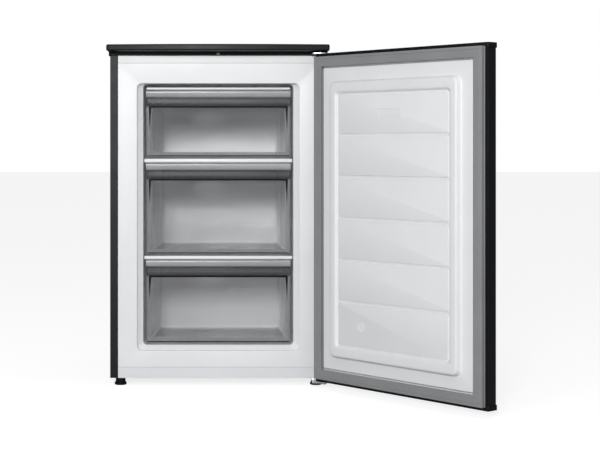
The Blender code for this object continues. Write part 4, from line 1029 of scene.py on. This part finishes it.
def doorLinerFrames():
    size, steps, seal = doorSize, linerSteps, sealSize
    half, bottom, top, inner = size["half"], size["bottom"], size["top"], size["inner"]
    edge = half - size["lip"] - size["gap"]
    low = bottom + size["cap"] + size["gap"]
    high = top - size["cap"] - size["gap"]
    flange = inner + steps["flange"]
    crest = flange + steps["plinth"]
    frames = [(edge, low, high, 0.001, inner)]
    for slope, y in ((0, inner), (steps["flangeSlope"], flange)):
        side = seal["side"] + seal["width"] + 2 * size["gap"] + size["wall"] + slope
        end = seal["end"] + seal["width"] + 2 * size["gap"] + size["wall"] + slope
        frames.append((half - side, bottom + end, top - end, 0.004, y))
    plinthHalf = half - steps["plinthSide"]
    plinthLow = bottom + steps["plinthEnd"]
    plinthHigh = top - steps["plinthTopEnd"]
    slope = steps["slope"]
    rim, rimEnd = slope + steps["rimSide"], slope + steps["rimEnd"]
    fall = steps["recessSlope"]
    rows = [(0, 0, flange, 0.016), (slope, slope, crest, 0.014), (rim, rimEnd, crest, 0.009),
            (rim + fall, rimEnd + fall, crest - steps["recess"], 0.007),
            (rim + fall + 0.004, rimEnd + fall + 0.004, crest - steps["recess"], 0.004)]
    for side, end, y, radius in rows:
        frames.append((plinthHalf - side, plinthLow + end, plinthHigh - end, radius, y))
    return frames


def padShape(half, low, high, floor, top, radius):
    rings = []
    for inset, y in ((0, floor), (0.0008, top - 0.0009), (0.0012, top - 0.0003), (0.0021, top)):
        rings.append(frontRing(half - inset, low + inset, high - inset, radius, y, 6))
    return loftShape(rings)


def makeDoorLiner():
    size, steps = doorSize, linerSteps
    frames = doorLinerFrames()
    reaches = [0, 0.0008, 0.0015, 0.003, 0.0045, 0.0035, 0.003, 0, 0]
    soft = softFrames(frames, reaches)
    shell = meshOf("doorLiner", trayShape(soft, -size["wall"], 8))
    half, low, high, _, floor = frames[-2]
    top = floor + steps["padHeight"]
    first = low + steps["lowShare"] * (high - low)
    pitch = (high - first) / (steps["pads"] - 1)
    shapes = []
    for index in range(steps["pads"]):
        padLow = first + pitch * (index - 1) + steps["groove"] / 2 if index else low + 0.003
        padHigh = first + pitch * index - steps["groove"] / 2
        if index == steps["pads"] - 1:
            padHigh = high - steps["margin"]
        shapes.append(padShape(half - steps["margin"], padLow, padHigh,
                               floor - size["wall"] / 2, top, steps["padRound"]))
    pads = meshOf("pads", joinShapes(shapes))
    mesh = booleanMesh(shell, pads, "UNION")
    addPiece("door_liner_moulding", mesh, "doorLiner", "door",
             ("door_liner",), doorTurn, 28)
    makeMarks(top)


markSize = dict(x=0.005, z=0.6757, half=0.037, tall=0.0124, radius=0.003, high=0.0007,
                border=0.0016, dots=9, dotStep=0.0068, discX=0.098, discZ=0.168, disc=0.012)


def makeMarks(face):
    # a plain embossed plate with a border and a row of dots, and a small raised disc below
    size = markSize
    plate = Matrix.Translation((size["x"], 0, size["z"]))
    shapes = []
    border = size["border"]
    rings = []
    for inset, y in ((0, face - 0.0002), (0.0003, face + size["high"]),
                     (border, face + size["high"]), (border + 0.0003, face + 0.0002)):
        rings.append(frontRing(size["half"] - inset, -size["tall"] + inset, size["tall"] - inset,
                               size["radius"], y, 5))
    shapes.append(loftShape(rings))
    bmesh.ops.transform(shapes[0], matrix=plate, verts=shapes[0].verts)
    dot = turnedShape([(0, 0.0006), (0.0012, 0.0006), (0.0017, 0), (0, 0)], 12)
    bmesh.ops.transform(dot, matrix=Matrix.Rotation(radians(-90), 4, "X"), verts=dot.verts)
    start = (size["x"] - size["dotStep"] * (size["dots"] - 1) / 2, face + 0.0002, size["z"])
    shapes.append(asShape(rowOf(dot, "doorLiner", size["dots"], start, (size["dotStep"], 0, 0))))
    disc = turnedShape([(0, 0.0004), (size["disc"] - 0.0025, 0.0004),
                        (size["disc"] - 0.0020, 0.0008), (size["disc"] - 0.0004, 0.0008),
                        (size["disc"], -0.0002), (0, -0.0002)], 40)
    turn = Matrix.Translation((size["discX"], face, size["discZ"]))
    turn = turn @ Matrix.Rotation(radians(-90), 4, "X")
    bmesh.ops.transform(disc, matrix=turn, verts=disc.verts)
    shapes.append(disc)
    addPiece("door_liner_marks", meshOf("marks", joinShapes(shapes)), "doorLiner", "door",
             (), doorTurn)


def makeGasket():
    # magnetic seal: base, one bellows fold each side and a flat face with a fine groove
    size, seal = doorSize, sealSize
    half = size["half"] - seal["side"]
    low = size["bottom"] + seal["end"]
    high = size["top"] - seal["end"]
    base, face, width = size["inner"] + size["gap"], -size["gap"], seal["width"]
    section = [(0.0004, base), (0, base + 0.0005), (0, base + 0.0026), (0.0008, base + 0.0036),
               (0.0030, base + 0.0045), (0.0008, base + 0.0054), (0, base + 0.0064),
               (0, face - 0.0008), (0.0003, face - 0.0002), (0.0010, face),
               (0.0060, face), (0.0066, face - 0.0007), (0.0072, face),
               (width - 0.0012, face), (width - 0.0003, face - 0.0003),
               (width, face - 0.0012), (width - 0.0004, face - 0.0040),
               (width - 0.0040, base + 0.0048), (width - 0.0042, base + 0.0042),
               (width - 0.0022, base + 0.0030), (width - 0.0020, base)]
    shape = bmesh.new()
    loops = []
    for inset, y in section:
        x, bottom, top = half - inset, low + inset, high - inset
        corners = ((-x, y, bottom), (x, y, bottom), (x, y, top), (-x, y, top))
        loops.append([shape.verts.new(corner) for corner in corners])
    for first, second in zip(loops, loops[1:] + loops[:1]):
        for index in range(4):
            after = (index + 1) % 4
            shape.faces.new((first[index], first[after], second[after], second[index]))
    addPiece("door_seal", meshOf("seal", shape), "sealGrey", "door",
             ("door_gasket",), doorTurn, 40)


def makeDoor():
    refine("door_skin", "satinBlack", "door", 0.0005, 2)
    refine("door_top_cap", "mouldedBlack", "door", 0.0006, 2, 50)
    refine("door_bottom_cap", "mouldedBlack", "door", 0.0006, 2, 50)
    refine("door_foam", "foamYellow", "door", 0)
    makeDoorLiner()
    makeGasket()


screwSize = dict(slotLong=0.0024, slotWide=0.0005, slotDeep=0.0007)


def screwMesh(radius, high, shank, length):
    # a pan head with a cross recess, its head down and its shank up from z = 0
    size = screwSize
    profile = [(0, length), (shank, length), (shank, 0)]
    profile += [(radius * fall, -high * rise) for rise, fall in quarter(6)]
    mesh = meshOf("head", turnedShape(profile, 28))
    reach, wide = size["slotLong"], size["slotWide"]
    bars = [blockShape((-reach, -wide, -high - 0.001), (reach, wide, -high + size["slotDeep"])),
            blockShape((-wide, -reach, -high - 0.001), (wide, reach, -high + size["slotDeep"]))]
    for bar in bars:
        mesh = booleanMesh(mesh, meshOf("bar", bar), "DIFFERENCE")
    return mesh


def makeScrew(node, material, body):
    low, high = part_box(node)
    radius = (high.x - low.x + high.y - low.y) / 4
    place = Vector(((low.x + high.x) / 2, (low.y + high.y) / 2, low.z + 0.0015))
    mesh = screwMesh(min(radius, 0.0034), 0.0015, 0.0017, high.z - low.z - 0.0015)
    addPiece(node + "_fine", mesh, material, body, (node,), Matrix.Translation(place))


def makeHinges():
    for node, material, body, width, segments in (
            ("top_hinge_bracket", "zincPlate", "cabinet", 0.0003, 2),
            ("bottom_hinge_bracket", "zincPlate", "cabinet", 0.0004, 2),
            ("top_hinge_pin", "zincPlate", "cabinet", 0.0002, 1),
            ("bottom_hinge_pin", "zincPlate", "cabinet", 0.0003, 2),
            ("top_door_bush", "whiteLiner", "door", 0.0002, 1),
            ("bottom_door_bush", "whiteLiner", "door", 0.0002, 1),
            ("door_stop_plate", "zincPlate", "door", 0.0003, 2)):
        refine(node, material, body, width, segments, 50)
    for number in ("1", "2"):
        makeScrew("bottom_hinge_screw_" + number, "zincPlate", "cabinet")
        makeScrew("stop_plate_screw_" + number, "satinBlack", "door")


makeDoor()
makeHinges()
print("door and hinges done")


compressorSize = dict(dome=0.62, seam=0.52, flange=0.004, foot=0.60, bowl=0.42, steps=10)


def turnedPiece(name, profile, node, material, segments=40, lay=False, at=None):
    low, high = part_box(node)
    place = at or Vector(((low.x + high.x) / 2, (low.y + high.y) / 2, low.z))
    turn = Matrix.Translation(place)
    if lay:
        turn = turn @ Matrix.Rotation(radians(-90), 4, "X")
    mesh = meshOf(name, turnedShape(profile, segments))
    return addPiece(name, mesh, material, "cabinet", (node,), turn)


def makeCompressor():
    size = compressorSize
    low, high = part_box("compressor_shell")
    height = high.z - low.z
    radius = (high.x - low.x) / 2 - size["flange"]
    dome = radius * size["dome"]
    seam = height * size["seam"]
    flange = size["flange"]
    profile = [(radius * rise, height - dome + dome * fall)
               for rise, fall in quarter(size["steps"])]
    profile += [(radius, seam + 0.006), (radius + flange * 0.8, seam + 0.0042),
                (radius + flange, seam + 0.0032), (radius + flange, seam - 0.0026),
                (radius + flange * 0.7, seam - 0.0036), (radius + 0.0006, seam - 0.0040)]
    for rise, fall in quarter(size["steps"])[1:]:
        profile.append((radius * (size["foot"] + (1 - size["foot"]) * fall),
                        radius * size["bowl"] * (1 - rise)))
    profile.append((0, 0))
    turnedPiece("compressor_can", profile, "compressor_shell", "satinBlack",
                segments=64)
    refine("compressor_plate", "satinBlack", "cabinet", 0.0008, 2)
    low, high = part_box("relay_cover")
    shapes = [blockShape(low, high, 0.005, 4)]
    ridge = blockShape((0, 0, 0), (0.0012, high.y - low.y - 0.014, 0.0012), 0.0004, 1)
    shapes.append(asShape(rowOf(ridge, "mouldedBlack", 6,
                                (low.x - 0.0006, low.y + 0.007, low.z + 0.012), (0, 0, 0.009))))
    addPiece("relay_cover_moulding", meshOf("relay", joinShapes(shapes)), "mouldedBlack",
             "cabinet", ("relay_cover",))
    for index in range(1, 5):
        node = f"compressor_grommet_{index}"
        low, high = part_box(node)
        r, h = (high.x - low.x) / 2, high.z - low.z
        profile = [(0, h), (r * 0.74, h), (r * 0.80, h - 0.0008), (r * 0.78, h * 0.74),
                   (r * 0.62, h * 0.60), (r * 0.62, h * 0.44), (r * 0.86, h * 0.26),
                   (r, h * 0.10), (r, 0.0004), (r - 0.0004, 0), (0, 0)]
        turnedPiece(node + "_moulding", profile, node, "blackRubber", segments=28)


condenserSize = dict(tube=0.0019, wire=0.0007, passes=9, wires=40, inset=0.004, strap=0.006,
                     leg=0.004, reach=0.62)


def makeCondenser():
    size = condenserSize
    low, high = cabinetBox("condenser")
    tube, wire = size["tube"], size["wire"]
    back = high.y
    centre = back - 2 * wire - tube
    halfX = high.x - tube - 0.0005
    zLow, zHigh = low.z + 0.008, high.z - 0.008
    pitch = (zHigh - zLow) / (size["passes"] - 1)
    route = snakePoints(halfX, zLow, pitch, size["passes"])
    shapes = [asShape(tubeOf([(x, centre, z) for x, z in route], "satinBlack", tube, pitch / 2,
                             10, 8))]
    step = 2 * (halfX - pitch * 0.5) / (size["wires"] - 1)
    for y in (back - wire, centre - tube - wire):
        rod = turnedShape([(0, zHigh + 0.007), (wire, zHigh + 0.007), (wire, zLow - 0.007),
                           (0, zLow - 0.007)], 6)
        shapes.append(asShape(rowOf(rod, "satinBlack", size["wires"],
                                    (-halfX + pitch * 0.5, y, 0), (step, 0, 0))))
    reach = size["reach"] * high.x
    for x in (-reach, reach):
        for z in (zLow + pitch / 2, zHigh - pitch / 2):
            shapes.append(blockShape((x - size["leg"], low.y, z - 0.006),
                                     (x + size["leg"], centre, z + 0.006), 0.0008, 2))
    for x in (-reach, 0, reach):
        shapes.append(blockShape((x - size["strap"], centre + tube * 0.6, zLow - 0.008),
                                 (x + size["strap"], back - wire, zHigh + 0.008), 0.0003, 1))
    cabinetPiece("condenser_coil", joinShapes(shapes), "satinBlack", "cabinet", ("condenser",))


pipeSize = dict(radius=0.0030, bend=0.012, dischargeUp=0.095, suctionUp=0.070, underCoil=0.022)


def makePipes():
    # routes follow the solids' corners; the bends are rounder
    low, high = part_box("discharge_pipe")
    radius = pipeSize["radius"]
    x0, x1 = low.x + radius, high.x - radius
    y0, y1 = low.y + radius, high.y - radius
    canLow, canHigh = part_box("compressor_shell")
    out = canLow.z + pipeSize["dischargeUp"]
    side = canHigh.x + 0.0003
    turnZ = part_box("condenser")[0].z - pipeSize["underCoil"]
    top = high.z
    route = [(side, y0, out), (x1, y0, out), (x1, y1, out), (x1, y1, turnZ), (x0, y1, turnZ),
             (x0, y1, top)]
    mesh = tubeOf(route, "copperTube", radius, pipeSize["bend"], 16, 8)
    addPiece("discharge_tube", mesh, "copperTube", "cabinet", ("discharge_pipe",))
    low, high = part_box("suction_pipe")
    out = canLow.z + pipeSize["suctionUp"]
    y = (low.y + high.y) / 2
    route = [(side, y, out), (high.x - radius, y, out), (high.x - radius, y, high.z)]
    mesh = tubeOf(route, "copperTube", radius, pipeSize["bend"], 16, 8)
    addPiece("suction_tube", mesh, "copperTube", "cabinet", ("suction_pipe",))
    low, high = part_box("filter_drier")
    r, h = (high.x - low.x) / 2, high.z - low.z
    neck = 0.0030
    profile = [(0, h), (neck, h), (neck, h - 0.0115), (neck + 0.0010, h - 0.0130),
               (r - 0.0006, h - 0.0195), (r, h - 0.0210), (r, h * 0.62), (r - 0.0005, h * 0.605),
               (r - 0.0005, h * 0.595), (r, h * 0.58), (r, 0.0210), (r - 0.0006, 0.0195),
               (neck + 0.0010, 0.0130), (neck, 0.0115), (neck, 0), (0, 0)]
    turnedPiece("drier_cartridge", profile, "filter_drier", "copperTube")


knobSize = dict(flutes=18, flute=0.0006, ticks=9, tickFrom=-120, tickStep=30)


def makeControl():
    low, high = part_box("control_box")
    case = blockShape(low, high, 0.0025, 3)
    # louvres beside the mains inlet
    slat = blockShape((0, -0.0004, 0), (0.026, 0.0009, 0.0012), 0.0004, 1)
    addPiece("control_case", meshOf("case", case), "mouldedBlack", "cabinet", ("control_box",))
    slats = rowOf(slat, "mouldedBlack", 5, (high.x - 0.034, high.y, high.z - 0.026),
                  (0, 0, 0.0038))
    addPiece("control_slats", slats, "mouldedBlack", "cabinet")
    low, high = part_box("thermostat_knob")
    centre = Vector(((low.x + high.x) / 2, low.y, (low.z + high.z) / 2))
    size = knobSize
    r = (high.x - low.x) / 2
    face = 0.013
    profile = [(0, face - 0.0006), (r * 0.74, face - 0.0002), (r * 0.82, face),
               (r * 0.88, face - 0.0008), (r * 0.97, 0.0030), (r * 0.97, 0.0014), (r, 0.0010),
               (r, 0.0002), (0, 0.0002)]
    shapes = [turnedShape(profile, 54)]
    rib = blockShape((r * 0.90, -size["flute"], 0.0030), (r * 0.965, size["flute"], face - 0.003),
                     0.0003, 1)
    shapes.append(asShape(ringOf(rib, "greyPlastic", size["flutes"])))
    grip = high.y - low.y
    shapes.append(blockShape((-0.0019, -r * 0.72, face - 0.004), (0.0019, r * 0.72, grip),
                             0.0009, 3))
    turn = Matrix.Translation(centre) @ Matrix.Rotation(radians(-90), 4, "X")
    addPiece("knob_moulding", meshOf("knob", joinShapes(shapes)), "greyPlastic",
             "thermostat_knob", ("thermostat_knob",), turn)
    marks = []
    for index in range(size["ticks"]):
        tick = blockShape((-0.0004, r + 0.0012, 0), (0.0004, r + 0.0036, 0.0003), 0.0, 1)
        spin = Matrix.Rotation(radians(size["tickFrom"] + size["tickStep"] * index), 4, "Z")
        bmesh.ops.transform(tick, matrix=spin, verts=tick.verts)
        marks.append(tick)
    addPiece("knob_scale", meshOf("scale", joinShapes(marks)), "whiteSteel", "cabinet", (), turn)
    low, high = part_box("mains_inlet_bush")
    r, h = (high.x - low.x) / 2, high.y - low.y
    profile = [(0, h)]
    for step in range(5):
        z = h - 0.0004 - step * (h - 0.0036) / 4
        outer = r * (0.62 + 0.025 * step)
        profile += [(outer, z), (outer, z - 0.0010), (outer - 0.0006, z - 0.0012)]
    profile += [(r * 0.72, 0.0032), (r - 0.0004, 0.0030), (r, 0.0026), (r, 0.0002), (0, 0.0002)]
    centre = Vector(((low.x + high.x) / 2, low.y, (low.z + high.z) / 2))
    turnedPiece("mains_bush", profile, "mains_inlet_bush", "blackRubber",
                lay=True, at=centre, segments=28)


backScrews = dict(count=6, inset=0.006, radius=0.0034, high=0.0012)


def makeBackScrews():
    low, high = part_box("back_panel")
    size = backScrews
    shape = asShape(screwMesh(size["radius"], size["high"], 0.0014, 0.001))
    turn = Matrix.Rotation(radians(90), 4, "X")
    bmesh.ops.transform(shape, matrix=turn, verts=shape.verts)
    step = (high.z - low.z - 0.05) / (size["count"] - 1)
    sides = []
    for x in (low.x + size["inset"] + 0.004, high.x - size["inset"] - 0.004):
        copy = shape.copy()
        sides.append(asShape(rowOf(copy, "zincPlate", size["count"], (x, high.y, low.z + 0.025),
                                   (0, 0, step))))
    shape.free()
    addPiece("back_screws", meshOf("backScrews", joinShapes(sides)), "zincPlate", "cabinet")


makeCompressor()
makeCondenser()
makePipes()
makeControl()
makeBackScrews()
print("compressor bay and back done")
